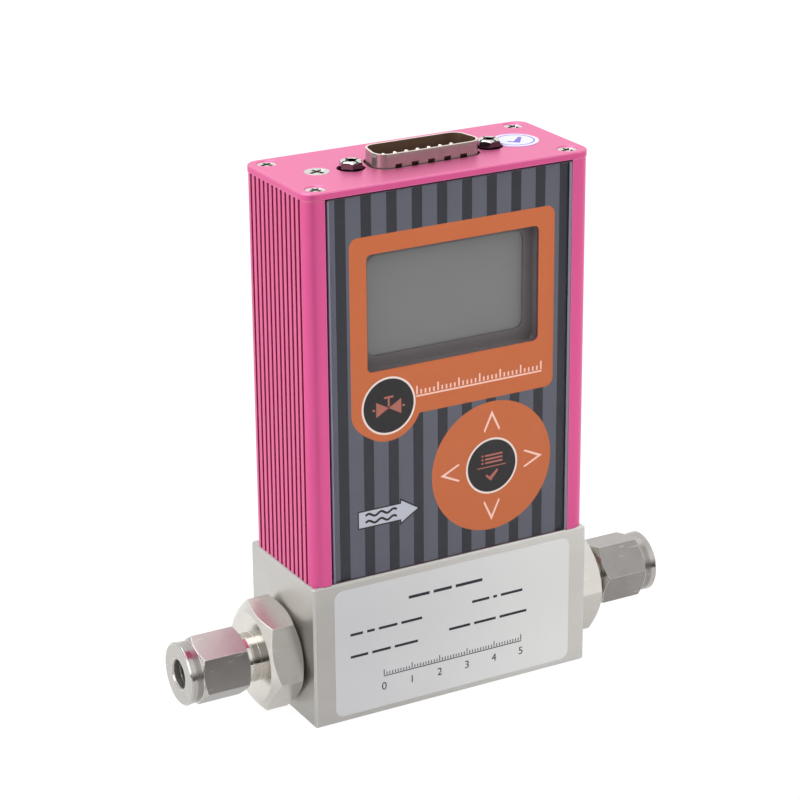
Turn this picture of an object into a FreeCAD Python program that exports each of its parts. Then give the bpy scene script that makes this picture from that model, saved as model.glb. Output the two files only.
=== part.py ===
import FreeCAD, Part
import math
import os

# Portable mass flow meter, in millimetres.
# The origin is at the centre of the underside of the base block, +Z is up, the gas
# flows along +X through the block, and the display faces -Y.

os.makedirs("parts", exist_ok=True)
V = FreeCAD.Vector

# General clearances
slide_clearance = 0.1
thread_clearance = 0.05
fit_clearance = 0.2
key_clearance = 0.08
hole_run_out = 1.0

# Base block
block_length = 68.8
block_depth = 30.0
block_height = 33.2
block_edge = 0.4
flow_height = 13.15
passage_radius = 5.5
port_radius = 7.0
port_depth = 11.5
tap_radius = 0.8
tap_pitch = 20.0
foot_hole_radius = 1.65
foot_hole_depth = 8.0
foot_spacing_x = 44.0
foot_spacing_y = 18.0

# Compression fittings, one at each end of the block
hex_flats = 21.6
hex_thickness = 8.0
hex_face_radius = 9.9
hex_chamfer_angle = 30.0
neck_radius = 5.55
neck_gap = 3.2
neck_groove_place = 1.6
neck_groove_width = 0.35
neck_groove_depth = 0.25
thread_lead = 0.5
tube_bore_radius = 3.2
tube_insertion = 15.2
orifice_radius = 2.4
nut_flats = 13.5
nut_length = 14.2
nut_wall = 1.8
nut_back_inset = 0.1
collar_length = 3.1
collar_inset = 0.05
collar_radius = 7.0
collar_edge = 0.3
cavity_slope = 0.6
mouth_chamfer = 0.35
mouth_inset = 4.5
mouth_radius = 4.2
seat_depth = 2.3
seat_end_radius = 3.4
front_ferrule_flange = 1.35
ferrule_outer_radius = 4.35
ferrule_nose_setback = 0.2
ferrule_lip = 0.3
ferrule_nest = 0.8
ferrule_gap = 0.1
seal_section = 0.8
left_hex_angle = 130.4
left_nut_angle = 141.0
right_hex_angle = 175.0
right_nut_angle = 111.6

# Laminar flow element
element_length = 17.0
element_flute_count = 12
flute_radius = 0.55

# Flow sensor on top of the block
sensor_base_depth = 8.4
sensor_base_margin = 3.0
sensor_base_height = 5.0
sensor_base_corner = 1.0
sensor_tube_radius = 0.45
sensor_tube_wall = 0.12
sensor_tube_rise = 16.5
sensor_tube_foot = 0.5
sensor_bend_radius = 3.0
coil_length = 5.0
coil_radius = 1.1
coil_ridge_count = 8
coil_ridge_depth = 0.2
coil_gap = 2.0
cover_gap = 0.75
cover_height = 18.0
cover_wall = 0.8
cover_corner = 1.5
ring_section = 0.45
ring_radius = 1.9
sensor_head_gap = 0.4
sensor_head_radius = 2.6
sensor_head_height = 2.8
lead_width = 8.0
lead_thickness = 0.2
lead_reach = 6.0

# Case: an extruded housing with a lid, standing on the block
case_length = 68.35
case_depth = 28.7
case_setback = -0.5
case_height = 85.65
case_wall = 2.0
case_corner = 3.0
case_edge = 0.2
lid_thickness = 1.5
lid_edge = 0.25
lid_overhang = 0.15
groove_count = 12
groove_pitch = 2.0
groove_width = 0.95
groove_depth = 0.8
first_groove_inset = 3.1
port_inset_x = 4.0
port_inset_front = 3.4
port_inset_back = 3.15
port_boss_radius = 2.6
rib_width = 1.0
rib_reach = 1.6

# Printed front film in its shallow channel
channel_depth = 0.6
channel_left_gap = 0.6
channel_right_gap = 0.05
film_end_gap = 0.08
film_top_gap = 0.3
film_width = 58.7
film_thickness = 0.4
film_corner = 0.5
ink_thickness = 0.1
print_offset = 0.8
film_offset = 0.15
print_margin = 0.1
stripe_count = 10
stripe_pitch = 6.0
stripe_width = 2.45

# Display window and the panel printed round it, heights above the block
panel_left_margin = 4.95
panel_right_margin = 4.05
panel_low = 35.15
panel_high = 76.15
panel_corner = 2.0
window_left_margin = 8.95
window_right_margin = 7.95
window_low = 46.3
window_high = 72.15
window_corner = 1.2
cutout_margin = 0.8

# Keys, placed from the film's side edges and from the top of the block
pad_right_margin = 19.4
pad_height = 19.3
pad_radius = 15.0
key_disc_radius = 6.05
key_ring_width = 0.45
valve_key_left_margin = 13.9
valve_key_height = 38.15
valve_lobe_radius = 8.0
chevron_rim = 2.1
chevron_length = 4.4
chevron_half_width = 2.05
chevron_line = 0.5

# Flow arrow printed at the lower left
arrow_left_margin = 6.4
arrow_pad_gap = 3.5
arrow_head_length = 4.1
arrow_height = 13.3
arrow_shaft_width = 3.6
arrow_head_width = 5.1
arrow_edge = 0.3

# Display
screen_border = 1.9
screen_raise = 0.35
gasket_step = 0.4
gasket_lip = 0.4
screen_corner = 2.2
screen_depth = 4.0
glass_margin = 3.1
glass_thickness = 1.45
frame_margin = 1.2
frame_corner = 1.0
frame_depth = 3.0
display_board_thickness = 1.6
display_board_height = 76.8

# Key switches behind the film
switch_size = 6.0
switch_height = 3.5
switch_corner = 0.5
switch_lip = 0.7
switch_floor = 1.0
plunger_radius = 1.7
plunger_tip_round = 0.3
plunger_foot_radius = 2.2
key_travel = 0.25
key_hole_radius = 2.2

# Main board and what it carries
main_board_width = 40.8
main_board_thickness = 1.6
main_board_low = 25.5
spacer_radius = 2.0
spacer_hole_radius = 1.05
spacer_pitch = 34.0
spacer_low = 5.0
spacer_high = 46.0
board_end_gap = 0.5
board_head_radius = 1.9
board_head_height = 1.4
chip_size = 12.0
chip_thickness = 1.6
chip_corner = 0.4
chip_rise = 33.0
power_row_rise = 19.0
coil_pack_offset = 10.0
coil_pack_size = 9.0
coil_pack_height = 4.0
coil_pack_corner = 1.5
capacitor_offset = -12.0
capacitor_radius = 3.2
capacitor_length = 7.0
capacitor_pitch = 8.0
header_rise = 10.0
header_length = 20.0
header_height = 2.5
header_pin_count = 8
header_pin_pitch = 2.54
header_pin_size = 0.6
header_pin_front = 0.4
header_pin_back = 0.8

# Fifteen-way D-shaped plug connector
connector_offset = -1.0
connector_drop = 2.95
shell_width = 25.25
shell_depth = 8.36
shell_wall = 0.42
shell_corner = 2.6
shell_slant = 10.0
shell_height = 6.0
flange_width = 39.14
flange_depth = 12.55
flange_corner = 1.5
flange_thickness = 0.5
dent_count = 5
dent_pitch = 3.9
dent_width = 1.7
dent_height = 2.2
dent_depth = 0.45
dent_drop = 2.3
cutout_clearance = 0.55
insulator_rise = 0.8
insulator_drop = 4.5
contact_radius = 0.51
contact_dome = 0.4
contact_pitch = 2.74
contact_row_gap = 2.84
contact_drop = 1.4
contact_tail = 4.5
front_row_count = 8
back_row_count = 7
jack_pitch = 33.32
jack_flats = 4.5
jack_angle = 10.0
jack_crown_inset = 0.2
jack_slot_width = 0.5
jack_slot_depth = 0.4
crown_angle = 35.5
jack_height = 4.65
jack_thread_radius = 1.4
jack_stud = 5.0
jack_hole_radius = 3.1
jack_tap_radius = 1.2
jack_tap_depth = 4.0
jack_nut_flats = 6.35
jack_nut_height = 2.4

# Pillars and screws
pillar_offset = 24.1
pillar_flats = 5.5
pillar_shift = 0.15
m3_radius = 1.5
m3_head_radius = 2.7
m25_radius = 1.2
m25_head_radius = 2.15
stud_length = 6.0
lid_screw_length = 10.0
lid_screw_sink = 0.25
pillar_screw_length = 8.0
recess_depth = 0.9
recess_width = 0.9
recess_reach_share = 0.72
recess_floor_share = 0.2
recess_angle = 20.0
socket_depth_share = 0.6

# Label and seal
label_width = 59.5
label_height = 30.0
label_corner = 2.0
label_thickness = 0.1
label_offset = 0.3
label_base = 1.45
seal_radius = 5.2
seal_shift = -0.2
seal_thickness = 0.1

# Edges this close to a face count as lying in it, and edges this near to a direction as along it
rim_tolerance = 0.001
along_cosine = 0.9

# Sizes and places that follow from the ones above
block_end = block_length / 2
case_end = case_length / 2
case_front = case_setback - case_depth / 2
case_back = case_setback + case_depth / 2
case_top = block_height + case_height
lid_top = case_top + lid_thickness
inner_half_width = case_end - case_wall
wall_back = case_front + case_wall
channel_floor = case_front + channel_depth
ink_front = channel_floor - ink_thickness
film_front = ink_front - film_thickness
stripes_width = (stripe_count - 1) * stripe_pitch + stripe_width
nut_end = block_end + hex_thickness + neck_gap + nut_length
nut_back = nut_end - nut_length
hex_front = block_end + hex_thickness
mouth_end = nut_end - mouth_inset
tube_stop = nut_end - tube_insertion
port_end = block_end - port_depth
seal_groove_radius = port_radius + 2 * seal_section
seal_groove_depth = 2 * seal_section + thread_clearance
connector_y = case_setback + connector_offset
flange_top = lid_top - connector_drop
pillar_y = case_setback + pillar_shift
pillar_height = case_height
window_middle = block_height + (window_low + window_high) / 2
screen_middle = window_middle + screen_raise
screen_front = film_front + screen_depth
board_front = screen_front + glass_thickness + frame_depth
board_back = board_front + display_board_thickness
main_board_front = connector_y - main_board_thickness / 2
main_board_back = connector_y + main_board_thickness / 2
insulator_base = flange_top - 2 * flange_thickness - insulator_drop
main_board_top = insulator_base - board_end_gap
sensor_base_top = block_height + sensor_base_height
cover_half_length = tap_pitch / 2 + sensor_tube_radius + cover_gap + cover_wall
sensor_screw_x = cover_half_length + sensor_head_gap + sensor_head_radius
sensor_base_half_length = sensor_screw_x + sensor_base_margin
header_z = block_height + main_board_low + header_rise
power_row_z = block_height + main_board_low + power_row_rise
chip_z = block_height + main_board_low + chip_rise
film_left = film_offset - film_width / 2
film_right = film_offset + film_width / 2
panel_left = film_left + panel_left_margin
panel_right = film_right - panel_right_margin
window_left = film_left + window_left_margin
window_right = film_right - window_right_margin
window_x = (window_left + window_right) / 2
window_half_width = (window_right - window_left) / 2
window_half_height = (window_high - window_low) / 2
screen_half_width = window_half_width - screen_border
screen_half_height = window_half_height - screen_border
pad_x = film_right - pad_right_margin
pad_z = block_height + pad_height
valve_x = film_left + valve_key_left_margin
chevron_tip_radius = pad_radius - chevron_rim
chevron_foot_radius = chevron_tip_radius - chevron_length
arrow_key_radius = (chevron_tip_radius + chevron_foot_radius) / 2
arrow_tip = pad_x - pad_radius - arrow_pad_gap
valve_z = block_height + valve_key_height


def box(x0, x1, y0, y1, z0, z1):
    """Box between two opposite corners."""
    return Part.makeBox(x1 - x0, y1 - y0, z1 - z0, V(x0, y0, z0))


def rounded_box(x0, x1, y0, y1, z0, z1, radius, along):
    """Box whose edges parallel to one axis are rounded."""
    solid = box(x0, x1, y0, y1, z0, z1)
    edges = [e for e in solid.Edges if abs(e.tangentAt(e.FirstParameter).dot(along)) > along_cosine]
    return solid.makeFillet(radius, edges)


def cylinder(radius, length, start, along):
    """Cylinder from a start point along a direction."""
    return Part.makeCylinder(radius, length, start, along)


def prism(points, travel):
    """Polygon through the points, extruded by a vector."""
    outline = Part.makePolygon(points + [points[0]])
    return Part.Face(outline).extrude(travel)


def turned(profile):
    """Solid of revolution about X from (x, radius) points."""
    points = [V(x, 0, radius) for x, radius in profile]
    face = Part.Face(Part.makePolygon(points + [points[0]]))
    return face.revolve(V(0, 0, 0), V(1, 0, 0), 360)


def hexagon(flats, start, length, along, across, angle):
    """Hexagonal bar along an axis, with a corner at an angle from the across direction."""
    radius = flats / math.sqrt(3)
    side = along.cross(across)
    points = []
    for i in range(6):
        turn = math.radians(angle + 60 * i)
        points.append(start + across * (radius * math.cos(turn)) + side * (radius * math.sin(turn)))
    return prism(points, along * length)


def chamfered_hexagon(flats, x0, x1, face_radius0, face_radius1, angle):
    """Hexagonal bar along X with both ends turned to a cone, as hexagon bar is chamfered."""
    corner = flats / math.sqrt(3) + hole_run_out
    slope = math.tan(math.radians(hex_chamfer_angle))
    cone = turned([
        (x0, 0), (x0, face_radius0), (x0 + (corner - face_radius0) * slope, corner),
        (x1 - (corner - face_radius1) * slope, corner), (x1, face_radius1), (x1, 0)])
    bar = hexagon(flats, V(x0, 0, 0), x1 - x0, V(1, 0, 0), V(0, 1, 0), angle)
    return bar.common(cone)


def on_flow_axis(solid, side):
    """Move a fitting piece from the X axis to its end of the block."""
    placed = solid.copy()
    if side < 0:
        placed.rotate(V(0, 0, 0), V(0, 0, 1), 180)
    placed.translate(V(0, 0, flow_height))
    return placed


def local_angle(angle, side):
    """Corner angle before the piece is turned round to the left end."""
    return angle if side > 0 else 180 - angle


def top_edges(solid):
    """Edges that lie in the highest face of a solid."""
    return [e for e in solid.Edges if e.BoundBox.ZMin > solid.BoundBox.ZMax - rim_tolerance]


def save(name, *solids):
    """Write one node, as one solid or as a group of separate solids."""
    shape = solids[0] if len(solids) == 1 else Part.makeCompound(list(solids))
    shape.exportStep("parts/" + name + ".step")


# Base block with its flow passage


def base_block():
    block = box(-block_end, block_end, -block_depth / 2, block_depth / 2, 0, block_height)
    block = block.makeChamfer(block_edge, block.Edges)
    cuts = [cylinder(passage_radius, block_length, V(-block_end, 0, flow_height), V(1, 0, 0))]
    for side in (-1, 1):
        outward = V(side, 0, 0)
        cuts.append(cylinder(port_radius, port_depth, V(side * port_end, 0, flow_height), outward))
        groove_start = V(side * (block_end - seal_groove_depth), 0, flow_height)
        cuts.append(cylinder(seal_groove_radius, seal_groove_depth, groove_start, outward))
        tap_x = side * tap_pitch / 2
        cuts.append(cylinder(tap_radius, block_height - flow_height, V(tap_x, 0, flow_height), V(0, 0, 1)))
        ring_seat = V(tap_x, 0, block_height - 2 * ring_section)
        cuts.append(cylinder(ring_radius + ring_section + thread_clearance, 2 * ring_section,
                             ring_seat, V(0, 0, 1)))
        hole_depth = stud_length + hole_run_out
        screw_foot = V(side * sensor_screw_x, 0, block_height - hole_depth)
        cuts.append(cylinder(m3_radius + thread_clearance, hole_depth, screw_foot, V(0, 0, 1)))
        stud_foot = V(side * pillar_offset, pillar_y, block_height - hole_depth)
        cuts.append(cylinder(m3_radius + thread_clearance, hole_depth, stud_foot, V(0, 0, 1)))
        for row in (-1, 1):
            foot = V(side * foot_spacing_x / 2, row * foot_spacing_y / 2, 0)
            cuts.append(cylinder(foot_hole_radius, foot_hole_depth, foot, V(0, 0, 1)))
    return block.cut(cuts)


# Compression fittings


def seat_radius(x):
    """Radius of the tapered ferrule seat at a place along the fitting."""
    return mouth_radius - (mouth_end - x) * (mouth_radius - seat_end_radius) / seat_depth


def fitting_body(side, angle):
    shank_radius = port_radius - thread_clearance
    hexagon_part = chamfered_hexagon(hex_flats, block_end, hex_front, hex_face_radius, hex_face_radius,
                                     local_angle(angle, side))
    shank = turned([
        (port_end, 0), (port_end, shank_radius - thread_lead), (port_end + thread_lead, shank_radius),
        (block_end, shank_radius), (block_end, 0)])
    groove = hex_front + neck_groove_place
    groove_end = groove + neck_groove_width
    neck = turned([
        (hex_front, 0), (hex_front, neck_radius), (groove, neck_radius),
        (groove, neck_radius - neck_groove_depth), (groove_end, neck_radius - neck_groove_depth),
        (groove_end, neck_radius), (mouth_end - thread_lead, neck_radius),
        (mouth_end, neck_radius - thread_lead), (mouth_end, 0)])
    bore = turned([(port_end, 0), (port_end, orifice_radius), (tube_stop, orifice_radius),
                   (tube_stop, tube_bore_radius), (mouth_end - seat_depth, tube_bore_radius),
                   (mouth_end - seat_depth, seat_end_radius), (mouth_end, mouth_radius), (mouth_end, 0)])
    body = hexagon_part.fuse([shank, neck]).removeSplitter().cut(bore)
    return on_flow_axis(body, side)


def fitting_nut(side, angle):
    collar_start = nut_end - collar_length
    collar_root = nut_flats / 2 - collar_inset
    bar = chamfered_hexagon(nut_flats, nut_back, collar_start, nut_flats / 2 - nut_back_inset,
                            collar_root, local_angle(angle, side))
    collar = turned([
        (collar_start, 0), (collar_start, collar_root), (nut_end - collar_edge, collar_radius),
        (nut_end, collar_radius - collar_edge), (nut_end, 0)])
    thread_bore = neck_radius + thread_clearance
    ferrule_bore = ferrule_outer_radius + slide_clearance
    cavity = turned([
        (nut_back, 0), (nut_back, thread_bore + mouth_chamfer), (nut_back + mouth_chamfer, thread_bore),
        (mouth_end, thread_bore), (mouth_end + cavity_slope, ferrule_bore),
        (nut_end - nut_wall, ferrule_bore), (nut_end - nut_wall, tube_bore_radius),
        (nut_end - mouth_chamfer, tube_bore_radius), (nut_end, tube_bore_radius + mouth_chamfer),
        (nut_end, 0)])
    return on_flow_axis(bar.fuse(collar).removeSplitter().cut(cavity), side)


def front_ferrule(side):
    nose = mouth_end - seat_depth + ferrule_nose_setback
    flange_back = mouth_end + front_ferrule_flange
    return on_flow_axis(turned([
        (nose, tube_bore_radius), (nose, seat_radius(nose) - thread_clearance),
        (mouth_end, seat_radius(mouth_end) - thread_clearance), (mouth_end, ferrule_outer_radius),
        (flange_back, ferrule_outer_radius), (flange_back, ferrule_outer_radius - ferrule_lip),
        (flange_back - ferrule_nest, tube_bore_radius)]), side)


def back_ferrule(side):
    flange_front = mouth_end + front_ferrule_flange
    flange_back = nut_end - nut_wall
    return on_flow_axis(turned([
        (flange_front - ferrule_nest + ferrule_gap, tube_bore_radius),
        (flange_front, ferrule_outer_radius - ferrule_lip - ferrule_gap),
        (flange_front, ferrule_outer_radius), (flange_back, ferrule_outer_radius),
        (flange_back, tube_bore_radius)]), side)


def port_seal(side):
    centre = V(side * (block_end - seal_section), 0, flow_height)
    return Part.makeTorus(port_radius + seal_section, seal_section, centre, V(1, 0, 0))


def laminar_element():
    core_radius = passage_radius - thread_clearance
    start = V(-element_length / 2, 0, flow_height)
    core = cylinder(core_radius, element_length, start, V(1, 0, 0))
    flutes = []
    for i in range(element_flute_count):
        turn = 2 * math.pi * i / element_flute_count
        centre = start + V(0, core_radius * math.cos(turn), core_radius * math.sin(turn))
        flutes.append(cylinder(flute_radius, element_length, centre, V(1, 0, 0)))
    return core.cut(flutes)


# Flow sensor


def sensor_rings():
    rings = []
    for side in (-1, 1):
        centre = V(side * tap_pitch / 2, 0, block_height - ring_section)
        rings.append(Part.makeTorus(ring_radius, ring_section, centre, V(0, 0, 1)))
    return rings


def sensor_base():
    half = sensor_base_half_length
    base = rounded_box(-half, half, -sensor_base_depth / 2, sensor_base_depth / 2, block_height,
                       sensor_base_top, sensor_base_corner, V(0, 0, 1))
    cuts = []
    for side in (-1, 1):
        cuts.append(cylinder(sensor_tube_radius + thread_clearance, sensor_base_height,
                             V(side * tap_pitch / 2, 0, block_height), V(0, 0, 1)))
        cuts.append(cylinder(m3_radius + slide_clearance, sensor_base_height,
                             V(side * sensor_screw_x, 0, block_height), V(0, 0, 1)))
    return base.cut(cuts)


def sensor_tube_path():
    half = tap_pitch / 2
    low = block_height + sensor_tube_foot
    high = block_height + sensor_tube_rise
    bend = sensor_bend_radius
    short = bend * (1 - math.sqrt(0.5))
    return Part.Wire([
        Part.makeLine(V(-half, 0, low), V(-half, 0, high - bend)),
        Part.Arc(V(-half, 0, high - bend), V(-half + short, 0, high - short),
                 V(-half + bend, 0, high)).toShape(),
        Part.makeLine(V(-half + bend, 0, high), V(half - bend, 0, high)),
        Part.Arc(V(half - bend, 0, high), V(half - short, 0, high - short),
                 V(half, 0, high - bend)).toShape(),
        Part.makeLine(V(half, 0, high - bend), V(half, 0, low))])


def sensor_tube():
    start = V(-tap_pitch / 2, 0, block_height + sensor_tube_foot)
    pipes = []
    for radius in (sensor_tube_radius, sensor_tube_radius - sensor_tube_wall):
        ring = Part.Wire(Part.makeCircle(radius, start, V(0, 0, 1)))
        pipes.append(sensor_tube_path().makePipeShell([ring], True, False))
    return pipes[0].cut(pipes[1])


def sensor_coils():
    high = block_height + sensor_tube_rise
    bore = sensor_tube_radius + thread_clearance
    coils = []
    for side in (-1, 1):
        start = coil_gap / 2
        pitch = coil_length / coil_ridge_count
        profile = [(start, bore)]
        for i in range(coil_ridge_count):
            profile.append((start + pitch * i, coil_radius - coil_ridge_depth))
            profile.append((start + pitch * (i + 0.5), coil_radius))
        profile.append((start + coil_length, coil_radius - coil_ridge_depth))
        profile.append((start + coil_length, bore))
        coil = turned(profile)
        if side < 0:
            coil.rotate(V(0, 0, 0), V(0, 0, 1), 180)
        coil.translate(V(0, 0, high))
        coils.append(coil)
    return coils


def sensor_cover():
    half = cover_half_length
    deep = sensor_base_depth / 2
    top = sensor_base_top + cover_height
    outer = rounded_box(-half, half, -deep, deep, sensor_base_top, top, cover_corner, V(0, 0, 1))
    inner = rounded_box(-half + cover_wall, half - cover_wall, -deep + cover_wall, deep - cover_wall,
                        sensor_base_top, top - cover_wall, cover_corner - cover_wall, V(0, 0, 1))
    return outer.cut(inner)


def sensor_lead():
    """Flat flexible tail from the sensor's cover to the back of the main board."""
    low = sensor_base_top + cover_height
    high = block_height + main_board_low + lead_reach
    return box(-lead_width / 2, lead_width / 2, main_board_back, main_board_back + lead_thickness, low, high)


# Screws, nuts and pillars


def cross_recess(top, centre_x, centre_y, head_radius):
    """Cross-shaped driving recess that narrows to its floor."""
    reach = head_radius * recess_reach_share
    floor_reach = head_radius * recess_floor_share
    arms = []
    for turn in (0, 90):
        arm = prism([V(-reach, 0, 0), V(reach, 0, 0), V(floor_reach, 0, -recess_depth),
                     V(-floor_reach, 0, -recess_depth)], V(0, recess_width, 0))
        arm.translate(V(0, -recess_width / 2, 0))
        arm.rotate(V(0, 0, 0), V(0, 0, 1), turn + recess_angle)
        arms.append(arm)
    recess = arms[0].fuse(arms[1])
    recess.translate(V(centre_x, centre_y, top))
    return recess


def flat_head_screw(x, y, top, head_radius, shank_radius, length):
    """Countersunk screw, given by the middle of its head's top face."""
    cone_depth = head_radius - shank_radius
    head = Part.makeCone(shank_radius, head_radius, cone_depth, V(x, y, top - cone_depth), V(0, 0, 1))
    shank = cylinder(shank_radius, length - cone_depth, V(x, y, top - length), V(0, 0, 1))
    return head.fuse(shank).removeSplitter().cut(cross_recess(top, x, y, head_radius))


def countersink(x, y, top, head_radius, shank_radius, depth):
    """Tool that leaves a countersunk hole with room for its screw."""
    room = thread_clearance
    cone_depth = head_radius - shank_radius
    cone = Part.makeCone(shank_radius + room, head_radius + room, cone_depth,
                         V(x, y, top - cone_depth), V(0, 0, 1))
    hole = cylinder(shank_radius + room, depth, V(x, y, top - depth), V(0, 0, 1))
    return cone.fuse(hole)


def corner_ports():
    """Places of the housing's four screw ports."""
    places = []
    for side in (-1, 1):
        places.append((side * (case_end - port_inset_x), case_front + port_inset_front))
        places.append((side * (case_end - port_inset_x), case_back - port_inset_back))
    return places


def lid_screws():
    return [flat_head_screw(x, y, lid_top - lid_screw_sink, m25_head_radius, m25_radius, lid_screw_length)
            for x, y in corner_ports()]


def pillar_screws():
    return [flat_head_screw(side * pillar_offset, pillar_y, lid_top, m3_head_radius, m3_radius,
                            pillar_screw_length) for side in (-1, 1)]


def pillar(side):
    """Hexagonal pillar screwed into the block, which takes a lid screw at its top."""
    foot = V(side * pillar_offset, pillar_y, block_height)
    bar = hexagon(pillar_flats, foot, pillar_height, V(0, 0, 1), V(1, 0, 0), 0)
    stud = cylinder(m3_radius, stud_length, foot - V(0, 0, stud_length), V(0, 0, 1))
    hole_depth = pillar_screw_length - lid_thickness + hole_run_out
    hole = cylinder(m3_radius + thread_clearance, hole_depth,
                    V(side * pillar_offset, pillar_y, case_top - hole_depth), V(0, 0, 1))
    return bar.fuse(stud).cut(hole)


def pan_screw(x, y, z, along, head_radius, head_height, shank_radius, length):
    """Pan head screw whose head sits on the point and whose shank runs along the direction."""
    seat = V(x, y, z)
    head = cylinder(head_radius, head_height, seat - along * head_height, along)
    shank = cylinder(shank_radius, length, seat, along)
    socket = hexagon(head_radius, seat - along * head_height, head_height * socket_depth_share, along,
                     along.cross(V(1, 0, 0)), 0)
    return head.fuse(shank).removeSplitter().cut(socket)


def sensor_screws():
    return [pan_screw(side * sensor_screw_x, 0, sensor_base_top, V(0, 0, -1), sensor_head_radius,
                      sensor_head_height, m3_radius, sensor_base_height + stud_length)
            for side in (-1, 1)]


# Housing and lid


def groove_cutters():
    """Vertical grooves with round floors, down both sides of the housing."""
    radius = groove_width / 2
    cutters = []
    for i in range(groove_count):
        y = case_front + first_groove_inset + groove_pitch * i
        for side in (-1, 1):
            floor = case_end - groove_depth + radius
            slot = box(floor, case_end + hole_run_out, y - radius, y + radius, block_height, case_top)
            slot = slot.fuse(cylinder(radius, case_height, V(floor, y, block_height), V(0, 0, 1)))
            if side < 0:
                slot.rotate(V(0, y, 0), V(0, 0, 1), 180)
            cutters.append(slot)
    return cutters


def board_ribs():
    """Ribs on the side walls that make the slots for the display board."""
    ribs = []
    for side in (-1, 1):
        x0, x1 = sorted((side * inner_half_width, side * (inner_half_width - rib_reach)))
        for y in (board_front - slide_clearance - rib_width, board_back + slide_clearance):
            ribs.append(box(x0, x1, y, y + rib_width, block_height, case_top))
    return ribs


def key_places():
    """Name and place of each key switch, seen from the front."""
    places = [("menu", pad_x, pad_z), ("valve", valve_x, valve_z)]
    for name, turn in (("right", 0), ("up", 90), ("left", 180), ("down", 270)):
        angle = math.radians(turn)
        places.append((name, pad_x + arrow_key_radius * math.cos(angle),
                       pad_z + arrow_key_radius * math.sin(angle)))
    return places


def housing():
    outer = rounded_box(-case_end, case_end, case_front, case_back, block_height, case_top,
                        case_corner, V(0, 0, 1))
    outer = outer.makeChamfer(case_edge, top_edges(outer))
    inner = box(-inner_half_width, inner_half_width, wall_back, case_back - case_wall,
                block_height, case_top)
    bosses = [cylinder(port_boss_radius, case_height, V(x, y, block_height), V(0, 0, 1))
              for x, y in corner_ports()]
    shell = outer.cut(inner).fuse(bosses + board_ribs()).common(outer).removeSplitter()
    cuts = groove_cutters()
    cuts.append(box(film_left - channel_left_gap, film_right + channel_right_gap,
                    case_front - hole_run_out, channel_floor, block_height, case_top))
    cuts.append(rounded_box(window_left - cutout_margin, window_right + cutout_margin,
                            case_front, wall_back + hole_run_out,
                            block_height + window_low - cutout_margin,
                            block_height + window_high + cutout_margin,
                            window_corner + cutout_margin, V(0, 1, 0)))
    for x, y in corner_ports():
        cuts.append(cylinder(m25_radius + thread_clearance, case_height, V(x, y, block_height),
                             V(0, 0, 1)))
    for name, x, z in key_places():
        cuts.append(cylinder(key_hole_radius, case_wall, V(x, case_front, z), V(0, 1, 0)))
    return shell.cut(cuts)


def lid():
    reach = case_end + lid_overhang
    plate = rounded_box(-reach, reach, case_front - lid_overhang, case_back + lid_overhang,
                        case_top, lid_top, case_corner + lid_overhang, V(0, 0, 1))
    plate = plate.makeChamfer(lid_edge, top_edges(plate))
    cuts = [connector_outline(shell_wall + cutout_clearance, case_top, lid_thickness)]
    for side in (-1, 1):
        jack_foot = V(side * jack_pitch / 2, connector_y, case_top)
        cuts.append(cylinder(jack_hole_radius, lid_thickness, jack_foot, V(0, 0, 1)))
        cuts.append(countersink(side * pillar_offset, pillar_y, lid_top, m3_head_radius, m3_radius,
                                lid_thickness))
    for x, y in corner_ports():
        cuts.append(countersink(x, y, lid_top, m25_head_radius + lid_screw_sink, m25_radius, lid_thickness))
    return plate.cut(cuts)


# Front film and its print


def film_plate(x0, x1, z0, z1, radius):
    """One printed field: a thin plate with round corners behind the clear film."""
    return rounded_box(x0, x1, ink_front, channel_floor, z0, z1, radius, V(0, 1, 0))


def ink_disc(x, z, radius):
    return cylinder(radius, ink_thickness, V(x, ink_front, z), V(0, 1, 0))


def ink_polygon(points):
    return prism([V(x, ink_front, z) for x, z in points], V(0, ink_thickness, 0))


def front_film():
    return rounded_box(film_left, film_right, film_front, ink_front, block_height + film_end_gap,
                       case_top - film_top_gap, film_corner, V(0, 1, 0))


def window_field():
    return film_plate(window_left, window_right, block_height + window_low, block_height + window_high,
                      window_corner)


def panel_field():
    return film_plate(panel_left, panel_right, block_height + panel_low, block_height + panel_high,
                      panel_corner)


def key_rings():
    rings = []
    for x, z in ((pad_x, pad_z), (valve_x, valve_z)):
        rings.append(ink_disc(x, z, key_disc_radius + key_ring_width).cut(ink_disc(x, z, key_disc_radius)))
    return rings


def key_discs():
    return [ink_disc(x, z, key_disc_radius) for x, z in ((pad_x, pad_z), (valve_x, valve_z))]


def chevrons():
    """Four open arrowheads round the menu key."""
    tip = chevron_tip_radius
    foot = chevron_foot_radius
    wide = chevron_half_width
    slant = math.hypot(tip - foot, wide)
    shift = chevron_line * slant / wide
    fields = []
    for turn in (0, 90, 180, 270):
        field = ink_polygon([(pad_x + tip, pad_z), (pad_x + foot, pad_z + wide),
                             (pad_x + foot - chevron_line, pad_z + wide - chevron_line / 2),
                             (pad_x + tip - shift, pad_z),
                             (pad_x + foot - chevron_line, pad_z - wide + chevron_line / 2),
                             (pad_x + foot, pad_z - wide)])
        field.rotate(V(pad_x, 0, pad_z), V(0, 1, 0), turn)
        fields.append(field)
    return fields


def arrow_field(edge):
    """Flow arrow, grown by the width of its dark edge."""
    z = block_height + arrow_height
    shaft = arrow_shaft_width / 2 + edge
    head = arrow_head_width / 2 + 2 * edge
    tail = film_left + arrow_left_margin - edge
    neck = arrow_tip - arrow_head_length - edge
    tip = arrow_tip + 2 * edge
    return ink_polygon([(tail, z - shaft), (neck, z - shaft), (neck, z - head), (tip, z),
                        (neck, z + head), (neck, z + shaft), (tail, z + shaft)])


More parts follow.
